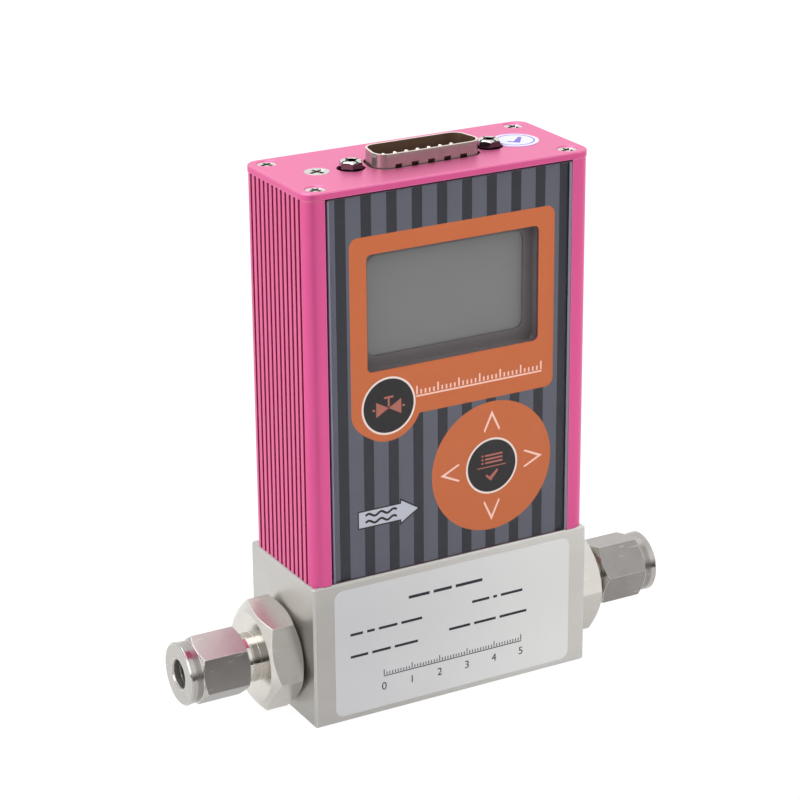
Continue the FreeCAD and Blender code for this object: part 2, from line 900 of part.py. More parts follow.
def orange_panel():
    lobe = ink_disc(valve_x, valve_z, valve_lobe_radius)
    pad = ink_disc(pad_x, pad_z, pad_radius)
    cuts = [window_field()] + chevrons()
    for x, z in ((pad_x, pad_z), (valve_x, valve_z)):
        cuts.append(ink_disc(x, z, key_disc_radius + key_ring_width))
    panel = panel_field().fuse(lobe).removeSplitter().cut(cuts)
    return [panel, pad.cut(cuts)]


def print_area():
    """Printed part of the film, a hair smaller than the film all round."""
    return film_plate(film_left + print_margin, film_right - print_margin,
                      block_height + film_end_gap + print_margin,
                      case_top - film_top_gap - print_margin, film_corner - print_margin)


def over_print():
    """Everything that is printed over the stripes."""
    return [panel_field(), ink_disc(valve_x, valve_z, valve_lobe_radius),
            ink_disc(pad_x, pad_z, pad_radius), arrow_field(arrow_edge)]


def stripe_boxes():
    first = print_offset - stripes_width / 2
    return [box(first + stripe_pitch * i, first + stripe_pitch * i + stripe_width, ink_front, channel_floor,
                block_height, case_top) for i in range(stripe_count)]


def dark_stripes():
    ground = print_area()
    over = over_print()
    return [stripe.common(ground).cut(over) for stripe in stripe_boxes()]


def grey_ground():
    return print_area().cut(stripe_boxes() + over_print())


# Display, key switches and boards


def screen_box(y0, y1, margin):
    """Box over the screen, wider and taller than it by a margin all round."""
    half_x = screen_half_width + margin
    half_z = screen_half_height + margin
    return box(window_x - half_x, window_x + half_x, y0, y1, screen_middle - half_z, screen_middle + half_z)


def display_gasket():
    """Foam frame, as wide as the window in front, with a thin lip round the screen at its back."""
    lip_front = screen_front - gasket_lip
    half_x = window_half_width + gasket_step
    half_z = window_half_height + gasket_step
    mouth = rounded_box(window_x - half_x, window_x + half_x, wall_back, lip_front,
                        window_middle - half_z, window_middle + half_z, window_corner, V(0, 1, 0))
    opening = rounded_box(window_x - screen_half_width, window_x + screen_half_width, lip_front,
                          screen_front, screen_middle - screen_half_height,
                          screen_middle + screen_half_height, screen_corner, V(0, 1, 0))
    return screen_box(wall_back, screen_front, glass_margin).cut([mouth, opening])


def display_glass():
    return screen_box(screen_front, screen_front + glass_thickness, glass_margin)


def display_frame():
    """Tray that carries the glass and the light behind it."""
    tray = screen_box(screen_front, board_front, glass_margin + frame_margin)
    along = [e for e in tray.Edges if abs(e.tangentAt(e.FirstParameter).y) > along_cosine]
    seat = screen_box(screen_front, screen_front + glass_thickness, glass_margin + thread_clearance)
    return tray.makeFillet(frame_corner, along).cut(seat)


def spacer_places():
    low = block_height + main_board_low + spacer_low
    high = block_height + main_board_low + spacer_high
    return [(side * spacer_pitch / 2, z) for side in (-1, 1) for z in (low, high)]


def display_board():
    half = inner_half_width - fit_clearance
    low = block_height + fit_clearance
    board = box(-half, half, board_front, board_back, low, low + display_board_height)
    holes = [cylinder(spacer_hole_radius, display_board_thickness, V(x, board_front, z), V(0, 1, 0))
             for x, z in spacer_places()]
    holes += header_pin_holes(board_front, display_board_thickness)
    return board.cut(holes)


def key_switches():
    """Bodies of the six key switches, open at the front for their plungers."""
    bodies = []
    half = switch_size / 2
    for name, x, z in key_places():
        front = board_front - switch_height
        body = rounded_box(x - half, x + half, front, board_front, z - half, z + half, switch_corner,
                           V(0, 1, 0))
        mouth = cylinder(plunger_radius + key_clearance, switch_lip, V(x, front, z), V(0, 1, 0))
        room = cylinder(plunger_foot_radius + key_clearance, switch_height - switch_lip - switch_floor,
                        V(x, front + switch_lip, z), V(0, 1, 0))
        bodies.append(body.cut([mouth, room]))
    return bodies


def key_plunger(x, z):
    """Plunger from behind the film down into its switch, held by its foot."""
    tip = channel_floor + fit_clearance
    foot_start = board_front - switch_height + switch_lip + thread_clearance
    foot_end = board_front - switch_floor - key_travel - slide_clearance
    stem = cylinder(plunger_radius, foot_end - tip, V(x, tip, z), V(0, 1, 0))
    foot = cylinder(plunger_foot_radius, foot_end - foot_start, V(x, foot_start, z), V(0, 1, 0))
    rim = [e for e in stem.Edges if e.BoundBox.YMax < tip + rim_tolerance]
    return stem.makeFillet(plunger_tip_round, rim).fuse(foot).removeSplitter()


def pin_row(y0, y1, size):
    """Row of square bars where the header's pins stand."""
    z = header_z
    half = size / 2
    bars = []
    for i in range(header_pin_count):
        x = (i - (header_pin_count - 1) / 2) * header_pin_pitch
        bars.append(box(x - half, x + half, y0, y1, z - half, z + half))
    return bars


def header_pin_holes(y, length):
    return pin_row(y, y + length, header_pin_size + 2 * thread_clearance)


def board_header():
    strip = box(-header_length / 2, header_length / 2, board_back, main_board_front,
                header_z - header_height / 2, header_z + header_height / 2)
    return strip.cut(header_pin_holes(board_back, main_board_front - board_back))


def board_header_pins():
    return pin_row(board_front - header_pin_front, main_board_back + header_pin_back, header_pin_size)


def board_spacers():
    spacers = []
    length = main_board_front - board_back
    for x, z in spacer_places():
        start = V(x, board_back, z)
        spacers.append(cylinder(spacer_radius, length, start, V(0, 1, 0)).cut(
            cylinder(spacer_hole_radius, length, start, V(0, 1, 0))))
    return spacers


def board_screws():
    length = main_board_back - board_front
    return [pan_screw(x, main_board_back, z, V(0, -1, 0), board_head_radius, board_head_height,
                      spacer_hole_radius - thread_clearance, length) for x, z in spacer_places()]


def main_board():
    half = main_board_width / 2
    board = box(-half, half, main_board_front, main_board_back, block_height + main_board_low,
                main_board_top)
    holes = [cylinder(spacer_hole_radius, main_board_thickness, V(x, main_board_front, z), V(0, 1, 0))
             for x, z in spacer_places()]
    holes += header_pin_holes(main_board_front, main_board_thickness)
    return board.cut(holes)


def controller_chip():
    half = chip_size / 2
    return rounded_box(-half, half, main_board_back, main_board_back + chip_thickness, chip_z - half,
                       chip_z + half, chip_corner, V(0, 1, 0))


def power_coil():
    half = coil_pack_size / 2
    return rounded_box(coil_pack_offset - half, coil_pack_offset + half, main_board_back,
                       main_board_back + coil_pack_height, power_row_z - half, power_row_z + half,
                       coil_pack_corner, V(0, 1, 0))


def capacitors():
    return [cylinder(capacitor_radius, capacitor_length,
                     V(capacitor_offset + capacitor_pitch * i, main_board_back, power_row_z), V(0, 1, 0))
            for i in range(2)]


# D-shaped connector


def connector_outline(offset, low, height):
    """D-shaped prism, wide side to the front, grown outwards by an offset."""
    slope = math.tan(math.radians(shell_slant))
    grow = offset / math.cos(math.radians(shell_slant))
    front = -shell_depth / 2 - offset
    back = shell_depth / 2 + offset
    wide = shell_width / 2 + grow - (front + shell_depth / 2) * slope
    narrow = shell_width / 2 + grow - (back + shell_depth / 2) * slope
    solid = prism([V(-wide, front + connector_y, low), V(wide, front + connector_y, low),
                   V(narrow, back + connector_y, low), V(-narrow, back + connector_y, low)],
                  V(0, 0, height))
    upright = [e for e in solid.Edges if abs(e.tangentAt(e.FirstParameter).z) > along_cosine]
    return solid.makeFillet(shell_corner + offset, upright)


def flange_plate(z, thickness):
    half = flange_width / 2
    deep = flange_depth / 2
    plate = rounded_box(-half, half, connector_y - deep, connector_y + deep, z, z + thickness,
                        flange_corner, V(0, 0, 1))
    holes = [cylinder(jack_thread_radius + slide_clearance, thickness,
                      V(side * jack_pitch / 2, connector_y, z), V(0, 0, 1)) for side in (-1, 1)]
    return plate.cut(holes)


def shell_dents(reach, width):
    """Blocks that stand in the front wall of the shell, from a reach outwards."""
    top = flange_top + shell_height - dent_drop
    outside = connector_y - shell_depth / 2 - shell_wall
    blocks = []
    for i in range(dent_count):
        left = (i - (dent_count - 1) / 2) * dent_pitch - width / 2
        blocks.append(box(left, left + width, outside, connector_y - reach, top - dent_height, top))
    return blocks


def connector_shell():
    low = flange_top - flange_thickness
    height = shell_height + flange_thickness
    skirt = connector_outline(shell_wall, low, height)
    hollow = connector_outline(0, low, height)
    pressed = shell_dents(shell_depth / 2 - dent_depth, dent_width + 2 * shell_wall)
    dents = shell_dents(shell_depth / 2 + shell_wall - dent_depth, dent_width)
    shell = flange_plate(low, flange_thickness).fuse(skirt).cut(hollow)
    return shell.fuse(pressed).removeSplitter().cut(dents)


def connector_back_plate():
    low = flange_top - 2 * flange_thickness
    return flange_plate(low, flange_thickness).cut(connector_outline(0, low, flange_thickness))


def contact_places():
    """Places of the contacts: the long row in front, the short row behind."""
    places = []
    for count, side in ((front_row_count, -1), (back_row_count, 1)):
        for i in range(count):
            places.append(((i - (count - 1) / 2) * contact_pitch, connector_y + side * contact_row_gap / 2))
    return places


def connector_insulator():
    top = flange_top + insulator_rise
    body = connector_outline(-slide_clearance / 2, insulator_base, top - insulator_base)
    holes = [cylinder(contact_radius + thread_clearance, top - insulator_base, V(x, y, insulator_base),
                      V(0, 0, 1)) for x, y in contact_places()]
    return body.cut(holes)


def connector_pins():
    """Round contacts with domed tips, their tails against the faces of the main board."""
    tip = flange_top + shell_height - contact_drop
    foot = insulator_base - contact_tail
    pins = []
    for x, y in contact_places():
        pin = cylinder(contact_radius, tip - foot, V(x, y, foot), V(0, 0, 1))
        pins.append(pin.makeFillet(contact_dome, top_edges(pin)))
    return pins


def jack_slots(foot):
    """Two shallow slots that cross over the top of a jack post."""
    reach = jack_flats
    half = jack_slot_width / 2
    top = foot.z + jack_height
    slots = []
    for turn in (0, 90):
        slot = box(foot.x - reach, foot.x + reach, foot.y - half, foot.y + half, top - jack_slot_depth, top)
        slot.rotate(foot, V(0, 0, 1), turn + jack_angle)
        slots.append(slot)
    return slots


def jack_screws():
    """Hexagonal jack posts: a threaded hole at the top and a stud through the flanges."""
    posts = []
    crown_radius = jack_flats / 2 - jack_crown_inset
    for side in (-1, 1):
        foot = V(side * jack_pitch / 2, connector_y, flange_top)
        post = hexagon(jack_flats, foot, jack_height, V(0, 0, 1), V(1, 0, 0), jack_angle)
        crown_foot = crown_radius + jack_height / math.tan(math.radians(crown_angle))
        crown = Part.makeCone(crown_foot, crown_radius, jack_height, foot, V(0, 0, 1))
        post = post.common(crown)
        stud = cylinder(jack_thread_radius, jack_stud, foot - V(0, 0, jack_stud), V(0, 0, 1))
        tap_foot = foot + V(0, 0, jack_height - jack_tap_depth)
        tap = cylinder(jack_tap_radius, jack_tap_depth, tap_foot, V(0, 0, 1))
        posts.append(post.fuse(stud).cut([tap] + jack_slots(foot)))
    return posts


def jack_nuts():
    nuts = []
    top = flange_top - 2 * flange_thickness
    for side in (-1, 1):
        foot = V(side * jack_pitch / 2, connector_y, top - jack_nut_height)
        nut = hexagon(jack_nut_flats, foot, jack_nut_height, V(0, 0, 1), V(1, 0, 0), 0)
        nuts.append(nut.cut(cylinder(jack_thread_radius + thread_clearance, jack_nut_height, foot,
                                     V(0, 0, 1))))
    return nuts


# Label and seal


def name_label():
    front = -block_depth / 2 - label_thickness
    return rounded_box(label_offset - label_width / 2, label_offset + label_width / 2, front,
                       -block_depth / 2, label_base, label_base + label_height, label_corner, V(0, 1, 0))


def screw_seal():
    """Round paper seal over the right-hand pillar screw, trimmed at the hole of the jack post."""
    disc = cylinder(seal_radius, seal_thickness, V(pillar_offset + seal_shift, pillar_y, lid_top),
                    V(0, 0, 1))
    return disc.cut(cylinder(jack_hole_radius + thread_clearance, seal_thickness,
                             V(jack_pitch / 2, connector_y, lid_top), V(0, 0, 1)))


save("base_block", base_block())
save("inlet_fitting_body", fitting_body(-1, left_hex_angle))
save("outlet_fitting_body", fitting_body(1, right_hex_angle))
save("inlet_nut", fitting_nut(-1, left_nut_angle))
save("outlet_nut", fitting_nut(1, right_nut_angle))
save("inlet_front_ferrule", front_ferrule(-1))
save("outlet_front_ferrule", front_ferrule(1))
save("inlet_back_ferrule", back_ferrule(-1))
save("outlet_back_ferrule", back_ferrule(1))
save("port_seals", port_seal(-1), port_seal(1))
save("laminar_element", laminar_element())
save("sensor_seals", *sensor_rings())
save("sensor_base", sensor_base())
save("sensor_tube", sensor_tube())
save("sensor_coils", *sensor_coils())
save("sensor_cover", sensor_cover())
save("sensor_screws", *sensor_screws())
save("sensor_lead", sensor_lead())
save("housing", housing())
save("lid", lid())
save("left_pillar", pillar(-1))
save("right_pillar", pillar(1))
save("lid_screws", *lid_screws())
save("pillar_screws", *pillar_screws())
save("front_film", front_film())
save("print_ground", grey_ground())
save("print_stripes", *dark_stripes())
save("print_orange", *orange_panel())
save("print_key_discs", *key_discs())
save("print_key_rings", *key_rings())
save("print_chevrons", *chevrons())
save("print_flow_arrow", arrow_field(0))
save("print_arrow_edge", arrow_field(arrow_edge).cut(arrow_field(0)))
save("display_gasket", display_gasket())
save("display_glass", display_glass())
save("display_frame", display_frame())
save("display_board", display_board())
save("key_switches", *key_switches())
for key_name, key_x, key_z in key_places():
    save("key_plunger_" + key_name, key_plunger(key_x, key_z))
save("board_header", board_header())
save("board_header_pins", *board_header_pins())
save("board_spacers", *board_spacers())
save("board_screws", *board_screws())
save("main_board", main_board())
save("controller_chip", controller_chip())
save("power_coil", power_coil())
save("capacitors", *capacitors())
save("connector_shell", connector_shell())
save("connector_back_plate", connector_back_plate())
save("connector_insulator", connector_insulator())
save("connector_pins", *connector_pins())
save("jack_screws", *jack_screws())
save("jack_nuts", *jack_nuts())
save("name_label", name_label())
save("screw_seal", screw_seal())
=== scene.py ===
# %% [markdown]
# # Dressing a gas mass flow meter
# The meter is a steel flow block with a tube fitting at each end, under a pink
# anodised case with a printed keypad film, a display and a plug connector.
# Its exact solids come from the packed model, already in metres and in place.
# This lesson gives them their finishes, adds the print, and lights the studio.

# %% Load the packed model
import math
import bpy
from mathutils import Matrix, Vector


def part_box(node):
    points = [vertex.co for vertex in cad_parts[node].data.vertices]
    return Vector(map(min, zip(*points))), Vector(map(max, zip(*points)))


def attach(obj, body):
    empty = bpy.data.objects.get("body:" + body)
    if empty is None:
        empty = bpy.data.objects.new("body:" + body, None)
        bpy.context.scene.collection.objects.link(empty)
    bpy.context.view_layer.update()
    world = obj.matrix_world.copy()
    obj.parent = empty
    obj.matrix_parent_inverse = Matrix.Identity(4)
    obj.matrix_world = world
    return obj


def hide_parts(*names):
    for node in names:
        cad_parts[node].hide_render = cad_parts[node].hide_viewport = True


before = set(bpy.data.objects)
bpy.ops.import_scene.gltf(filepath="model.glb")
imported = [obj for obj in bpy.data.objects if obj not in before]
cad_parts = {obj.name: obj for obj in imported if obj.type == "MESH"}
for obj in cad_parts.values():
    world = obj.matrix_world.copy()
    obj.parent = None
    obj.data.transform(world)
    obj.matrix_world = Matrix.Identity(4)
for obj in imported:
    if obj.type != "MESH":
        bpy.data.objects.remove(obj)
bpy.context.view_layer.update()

# %% [markdown]
# ## The camera
# A photograph's view is fixed by where the camera stands, how it is turned and
# how long its lens is. These were fitted to the meter's corners, so that each
# corner lands where the picture has it. Writing the camera's three axes as a
# matrix keeps the small roll, which a "look at" constraint would lose.

# %% Stand the camera
MM = 0.001
PER_MM = 1 / MM
TURN = math.radians(-28.871)
RISE = math.radians(20.836)
ROLL = math.radians(-0.483)
AIM = Vector((-4.664, 0, 65.89)) * MM
DISTANCE = 568.79 * MM
FOCAL_PIXELS = 2609.5
PICTURE_PIXELS = 800
SENSOR_WIDTH = 36.0


def aimed_axes(turn, rise, roll):
    """The camera's right, up and backward directions."""
    flat = math.cos(rise)
    back = Vector((math.sin(turn) * flat, -math.cos(turn) * flat, math.sin(rise)))
    level = (-back).cross(Vector((0, 0, 1))).normalized()
    upright = level.cross(-back)
    right = level * math.cos(roll) + upright * math.sin(roll)
    up = upright * math.cos(roll) - level * math.sin(roll)
    return right, up, back


right, up, back = aimed_axes(TURN, RISE, ROLL)
lens = bpy.data.cameras.new("studio_camera")
lens.sensor_width = SENSOR_WIDTH
lens.lens = FOCAL_PIXELS / PICTURE_PIXELS * SENSOR_WIDTH
lens.clip_start = 0.01
lens.clip_end = 20.0
camera = bpy.data.objects.new("studio_camera", lens)
axes = Matrix((right, up, back)).transposed().to_4x4()
camera.matrix_world = Matrix.Translation(AIM + back * DISTANCE) @ axes
bpy.context.scene.collection.objects.link(camera)
bpy.context.scene.camera = camera
print("lens, mm:", round(lens.lens, 2))

# %% [markdown]
# ## A workbench for finishes
# A Blender material is a tree of nodes. Wiring it by hand takes a line for each
# wire, so this small class holds one socket and lets Python's own signs add the
# nodes: `lines * 0.2 + 0.3` adds a Multiply and an Add. The reflected forms let
# a plain number stand first, as in `1 - mask`. Every other node comes from
# `node`, which sets its settings first, since they can change its sockets.

# %% The socket class


class Wire:
    """One socket in a tree of nodes, or the bare tree when it has none."""

    def __init__(self, tree, socket=None):
        self.tree = tree
        self.socket = socket

    def node(self, kind, settings=(), sockets=(), output=0):
        """Adds a node and gives the wire from one of its outputs."""
        made = self.tree.nodes.new("ShaderNode" + kind)
        for name, value in dict(settings).items():
            setattr(made, name, value)
        for name, value in dict(sockets).items():
            if isinstance(value, Wire):
                self.tree.links.new(value.socket, made.inputs[name])
            else:
                made.inputs[name].default_value = value
        if not made.outputs:
            return None
        return Wire(self.tree, made.outputs[output])

    def sum(self, operation, first, second=0.0):
        """A Math node on two values."""
        return self.node("Math", {"operation": operation}, {0: first, 1: second})

    def vector(self, operation, other=(0.0, 0.0, 0.0), output="Vector"):
        """A Vector Math node on this vector and another."""
        return self.node("VectorMath", {"operation": operation}, {0: self, 1: other}, output)

    def mix(self, first, second):
        """Two colours, mixed by this value."""
        return self.node("Mix", {"data_type": "RGBA"}, {0: self, 6: first, 7: second}, 2)

    def between(self, low, high):
        """0 where this value is low, 1 where it is high, and smooth between."""
        settings = {"interpolation_type": "SMOOTHSTEP"}
        return self.node("MapRange", settings, {"Value": self, "From Min": low, "From Max": high})

    def split(self):
        """The three parts of this vector."""
        made = self.node("SeparateXYZ", (), {0: self}).socket.node
        return [Wire(self.tree, socket) for socket in made.outputs]

    def absolute(self):
        return self.sum("ABSOLUTE", self)

    def __add__(self, other):
        return self.sum("ADD", self, other)

    def __sub__(self, other):
        return self.sum("SUBTRACT", self, other)

    def __mul__(self, other):
        return self.sum("MULTIPLY", self, other)

    def __rsub__(self, other):
        return self.sum("SUBTRACT", other, self)

    __radd__ = __add__
    __rmul__ = __mul__


print("the class adds nodes for: + - * and for", [name for name in vars(Wire) if name.isalpha()])

# %% [markdown]
# ## Colours
# A picture's colours are counted from 0 to 255 as the eye takes them, while a
# material counts light. This is the step from the one to the other.

# %% Colours
WHITE = (1.0, 1.0, 1.0, 1.0)


def tint(red, green, blue):
    """A colour as the eye names it, 0 to 255, turned into light."""
    shares = [part / 255 for part in (red, green, blue)]
    light = [s / 12.92 if s <= 0.04045 else ((s + 0.055) / 1.055) ** 2.4 for s in shares]
    return (*light, 1.0)


def scaled(colour, factor):
    """A colour made lighter or darker."""
    return (*[min(1.0, part * factor) for part in colour[:3]], 1.0)


print("a mid grey:", [round(part, 3) for part in tint(128, 128, 128)])

# %% [markdown]
# ## The studio
# The object stands near the front edge of a white table. The table is a plain
# plane. For the camera it mostly glows at strength 1, which is white, and the
# rest of it is lit, so it still holds a soft shadow. Mirrors and glass see that
# glow too, strongly behind and right of the object and less in front, where the
# dark side of the studio begins: polished steel needs that darkness.

# %% The table
FLOOR_SIDE = 3.0
FLOOR_FRONT = -0.08
FLOOR_DROP = 0.05 * MM
CAMERA_GLOW = 0.82
MIRROR_GLOW_FRONT = 0.12
MIRROR_GLOW_BEHIND = 0.98
MIRROR_DEEP = (-30 * MM, 25 * MM)
MIRROR_RIGHT = (62 * MM, 120 * MM)
TABLE_GREY = 0.72
GLOW_STRENGTH = 1.14


def where(bench):
    """The place on the surface, in the model's own metres."""
    return bench.node("TexCoord", (), (), "Object")


def rays(bench):
    """1 for the camera's own rays, and 1 for reflections and rays through glass."""
    kinds = ("Is Camera Ray", "Is Glossy Ray", "Is Transmission Ray")
    path = bench.node("LightPath").socket.node.outputs
    camera, glossy, through = [Wire(bench.tree, path[kind]) for kind in kinds]
    return camera, glossy + through


def glow_share(bench):
    """How much of the table glows, for the camera, for reflections and through glass."""
    direct, reflected = rays(bench)
    x, y = where(bench).split()[:2]
    bright = bench.sum("MAXIMUM", y.between(*MIRROR_DEEP), x.between(*MIRROR_RIGHT))
    mirrored = MIRROR_GLOW_FRONT + bright * (MIRROR_GLOW_BEHIND - MIRROR_GLOW_FRONT)
    return bench.sum("MINIMUM", direct * CAMERA_GLOW + reflected * mirrored, MIRROR_GLOW_BEHIND)


def new_finish(name):
    """An empty material and its workbench."""
    made = bpy.data.materials.new(name)
    made.use_nodes = True
    made.node_tree.nodes.clear()
    return made, Wire(made.node_tree)


table_top = bpy.data.meshes.new("table")
corners = [
    (-FLOOR_SIDE, FLOOR_FRONT), (FLOOR_SIDE, FLOOR_FRONT),
    (FLOOR_SIDE, FLOOR_SIDE), (-FLOOR_SIDE, FLOOR_SIDE),
]
table_top.from_pydata([(x, y, -FLOOR_DROP) for x, y in corners], [], [(0, 1, 2, 3)])
table = bpy.data.objects.new("table", table_top)
bpy.context.scene.collection.objects.link(table)
white_table, bench = new_finish("white_table")
matt = bench.node("BsdfDiffuse", (), {"Color": (TABLE_GREY, TABLE_GREY, TABLE_GREY, 1.0)})
glow = bench.node("Emission", (), {"Color": WHITE, "Strength": GLOW_STRENGTH})
surface = bench.node("MixShader", (), {0: glow_share(bench), 1: matt, 2: glow})
bench.node("OutputMaterial", (), {"Surface": surface})
table_top.materials.append(white_table)
print("table, m:", 2 * FLOOR_SIDE, "by", FLOOR_SIDE - FLOOR_FRONT)

# %% [markdown]
# ## The room
# The world's colour depends on its direction alone, so it stays put when the
# camera moves. The camera itself sees plain white, and so do metal and glass
# wherever they look past the object's back. In front a dark band runs
# round the horizon, with the lit ceiling above it and a bright floor below it
# and to the right, so polished steel gets both its white and its dark. A dim
# doorway on the left draws a soft dark line down the case's round corner.

# %% The room and its lamps
ROOM_OVERHEAD = 0.95
ROOM_BEHIND = 1.14
ROOM_BAND = 0.10
ROOM_CEILING = 1.15
ROOM_FLOOR = 1.30
ROOM_FLOOR_RIGHT = 0.40
DOOR_SHADE = 0.55
DOOR_ACROSS = -0.36
WARM_WHITE = (1.0, 0.992, 0.98, 1.0)
room = bpy.data.worlds.new("studio_room")
room.use_nodes = True
room.node_tree.nodes.clear()
bench = Wire(room.node_tree)
across, deep, high = bench.node("TexCoord", (), (), "Generated").split()
ceiling = high.between(-0.04, 0.42) * (ROOM_CEILING - ROOM_BAND)
rightward = across.between(0.30, 0.62) * ROOM_FLOOR_RIGHT
floor = high.between(-0.12, -0.40) * (rightward + ROOM_FLOOR - ROOM_BAND)
front_level = ROOM_BAND + ceiling + floor
behind = deep.between(-0.35, 0.35)
level = front_level + behind * (ROOM_BEHIND - front_level)
level = level + high.between(0.55, 1.0) * (ROOM_OVERHEAD - level)
door = 1 - (across - DOOR_ACROSS).absolute().between(0.10, 0.22)
level = level * (1 - door * (1 - behind) * DOOR_SHADE)
warmth = high.between(0.0, 0.9).mix(WARM_WHITE, WHITE)
walls = bench.node("Background", (), {"Color": warmth, "Strength": level})
plain = bench.node("Background", (), {"Color": WHITE, "Strength": 1.0})
direct, reflected = rays(bench)
share = bench.sum("MINIMUM", direct + reflected * behind, 1.0)
seen = bench.node("MixShader", (), {0: share, 1: walls, 2: plain})
bench.node("OutputWorld", (), {"Surface": seen})
bpy.context.scene.world = room


def softbox(name, place, aim, width, height, power, mirrored=True):
    """A large soft lamp at a place, turned to a point. Polished parts may miss it."""
    lamp = bpy.data.lights.new(name, "AREA")
    lamp.shape = "RECTANGLE"
    lamp.size = width
    lamp.size_y = height
    lamp.energy = power
    holder = bpy.data.objects.new(name, lamp)
    holder.location = place
    holder.visible_glossy = mirrored
    holder.rotation_euler = (Vector(place) - Vector(aim)).to_track_quat("Z", "Y").to_euler()
    bpy.context.scene.collection.objects.link(holder)


MIDDLE = (0.0, 0.0, 0.06)
OVERHEAD, LEFT, RIGHT = (-0.15, 0.25, 0.95), (-0.95, -0.25, 0.45), (0.75, -0.90, 0.65)
softbox("overhead_softbox", OVERHEAD, MIDDLE, width=0.9, height=0.7, power=3.35)
softbox("left_softbox", LEFT, MIDDLE, width=0.5, height=0.8, power=2.55)
softbox("right_softbox", RIGHT, MIDDLE, width=0.8, height=0.8, power=3.4, mirrored=False)
bpy.context.scene.view_settings.view_transform = "Standard"
print("room levels:", ROOM_OVERHEAD, ROOM_BEHIND, ROOM_CEILING, ROOM_BAND, ROOM_FLOOR)

# %% [markdown]
# ## Tools that the finishes share
# Every finish reads the place on the surface in metres, so that a grain of a
# quarter of a millimetre has one size everywhere. Stretching that place before
# it goes into a noise turns round grains into drawn lines. The Bevel node looks
# round a corner: where its normal leaves the true one, there is an edge, and
# the finishes paint a pale highlight along their edges there.

# %% Grain, lines, edges and the closing surface


def facing(bench):
    """The parts of the surface's direction, in the model's own axes."""
    return bench.node("TexCoord", (), (), "Normal").split()


def grain(bench, size, stretch=(1.0, 1.0, 1.0), detail=2.0):
    """Noise whose lumps are `size` millimetres, drawn out by `stretch`."""
    rate = [1.0 / (size * MM * part) for part in stretch]
    place = where(bench).vector("MULTIPLY", rate)
    return bench.node("TexNoise", (), {"Vector": place, "Scale": 1.0, "Detail": detail})


def rounded(bench, radius):
    """The surface's direction, as if its edges had a small radius."""
    return bench.node("Bevel", {"samples": 4}, {"Radius": radius * MM})


def edges(bench, soft):
    """1 on the surface's outer and inner edges, 0 on its flats."""
    true = bench.node("NewGeometry", (), (), "Normal")
    return soft.vector("DOT_PRODUCT", true, "Value").between(0.995, 0.90)


def bump(bench, height, depth, strength=1.0, soft=None):
    """Turns a height into a tilt of the surface. The depth is in millimetres."""
    sockets = {"Height": height, "Distance": depth * MM, "Strength": strength}
    if soft:
        sockets["Normal"] = soft
    return bench.node("Bump", (), sockets)


def close(made, bench, **sockets):
    """Ends a material with its Principled surface."""
    named = {name.replace("_", " "): value for name, value in sockets.items()}
    surface = bench.node("BsdfPrincipled", (), named)
    bench.node("OutputMaterial", (), {"Surface": surface})
    return made


finishes = {}
print("lumps in a metre of a 0.25 mm grain:", round(1 / (0.25 * MM)))

# %% [markdown]
# ## Ground stainless steel
# The flow block is sawn from bar and ground on all sides. Grinding leaves fine
# straight lines along each face, and a slow mottle where the wheel passed. The
# lines run along the block on its long faces and across it on its ends, so the
# material looks at which way the surface faces before it picks its lines. The
# colour is also painted paler toward the outlet as a painted light gradient, and
# the edges get a painted pale highlight.

# %% Ground steel
RUN_HALF = 34 * MM


def ground_steel(name):
    made, bench = new_finish(name)
    toward = facing(bench)
    on_end = toward[0].absolute().between(0.45, 0.55)
    along = grain(bench, 0.30, (60.0, 1.0, 1.0))
    across = grain(bench, 0.30, (1.0, 60.0, 1.0))
    lines = along + (across - along) * on_end
    mottle = grain(bench, 7.0)
    speck = grain(bench, 0.12)
    soft = rounded(bench, 0.25)
    edge = edges(bench, soft)
    # painted light: the colour is painted paler toward the outlet end, at +x
    run = where(bench).split()[0].between(-RUN_HALF, RUN_HALF)
    grain_and_painted_light = lines * 0.25 + mottle * 0.25 + run * 0.5
    shade = grain_and_painted_light.mix(tint(180, 177, 173), tint(226, 224, 220))
    # painted highlight: the edges are painted pale
    colour = edge.mix(shade, tint(232, 231, 228))
    rough = 0.28 + lines * 0.10 + mottle * 0.08 - edge * 0.10
    height = lines * 0.7 + speck * 0.3
    return close(
        made, bench, Base_Color=colour, Metallic=1.0, Roughness=rough,
        Normal=bump(bench, height, 0.012, soft=soft),
    )


finishes["stainless_ground"] = ground_steel("stainless_ground")
print("made stainless_ground")

# %% [markdown]
# ## Turned stainless steel
# The fittings and their nuts are turned from hexagon bar. A lathe leaves rings
# round the axis, while the six flats keep the lines of the drawn bar. A point
# lies on a flat when its distance from the axis, measured along the surface's
# own direction, is half of the width across flats, so one product finds them.
# The nut's bar is a darker steel. Its flats are painted darker still, a painted
# dark reflection, and its top flats paler, a painted light. All edges get a
# painted highlight, and the neck between the two is polished.

# %% Turned steel
FLOW_HEIGHT = 13.15
HALF_FLATS = (10.8, 6.75)
NECK_OUTER = -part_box("inlet_nut")[1].x / MM
NECK_INNER = NECK_OUTER - 3.2
NECK_RADIUS = 5.55
BORE_RADIUS = 3.2
RING_PITCH = 0.22


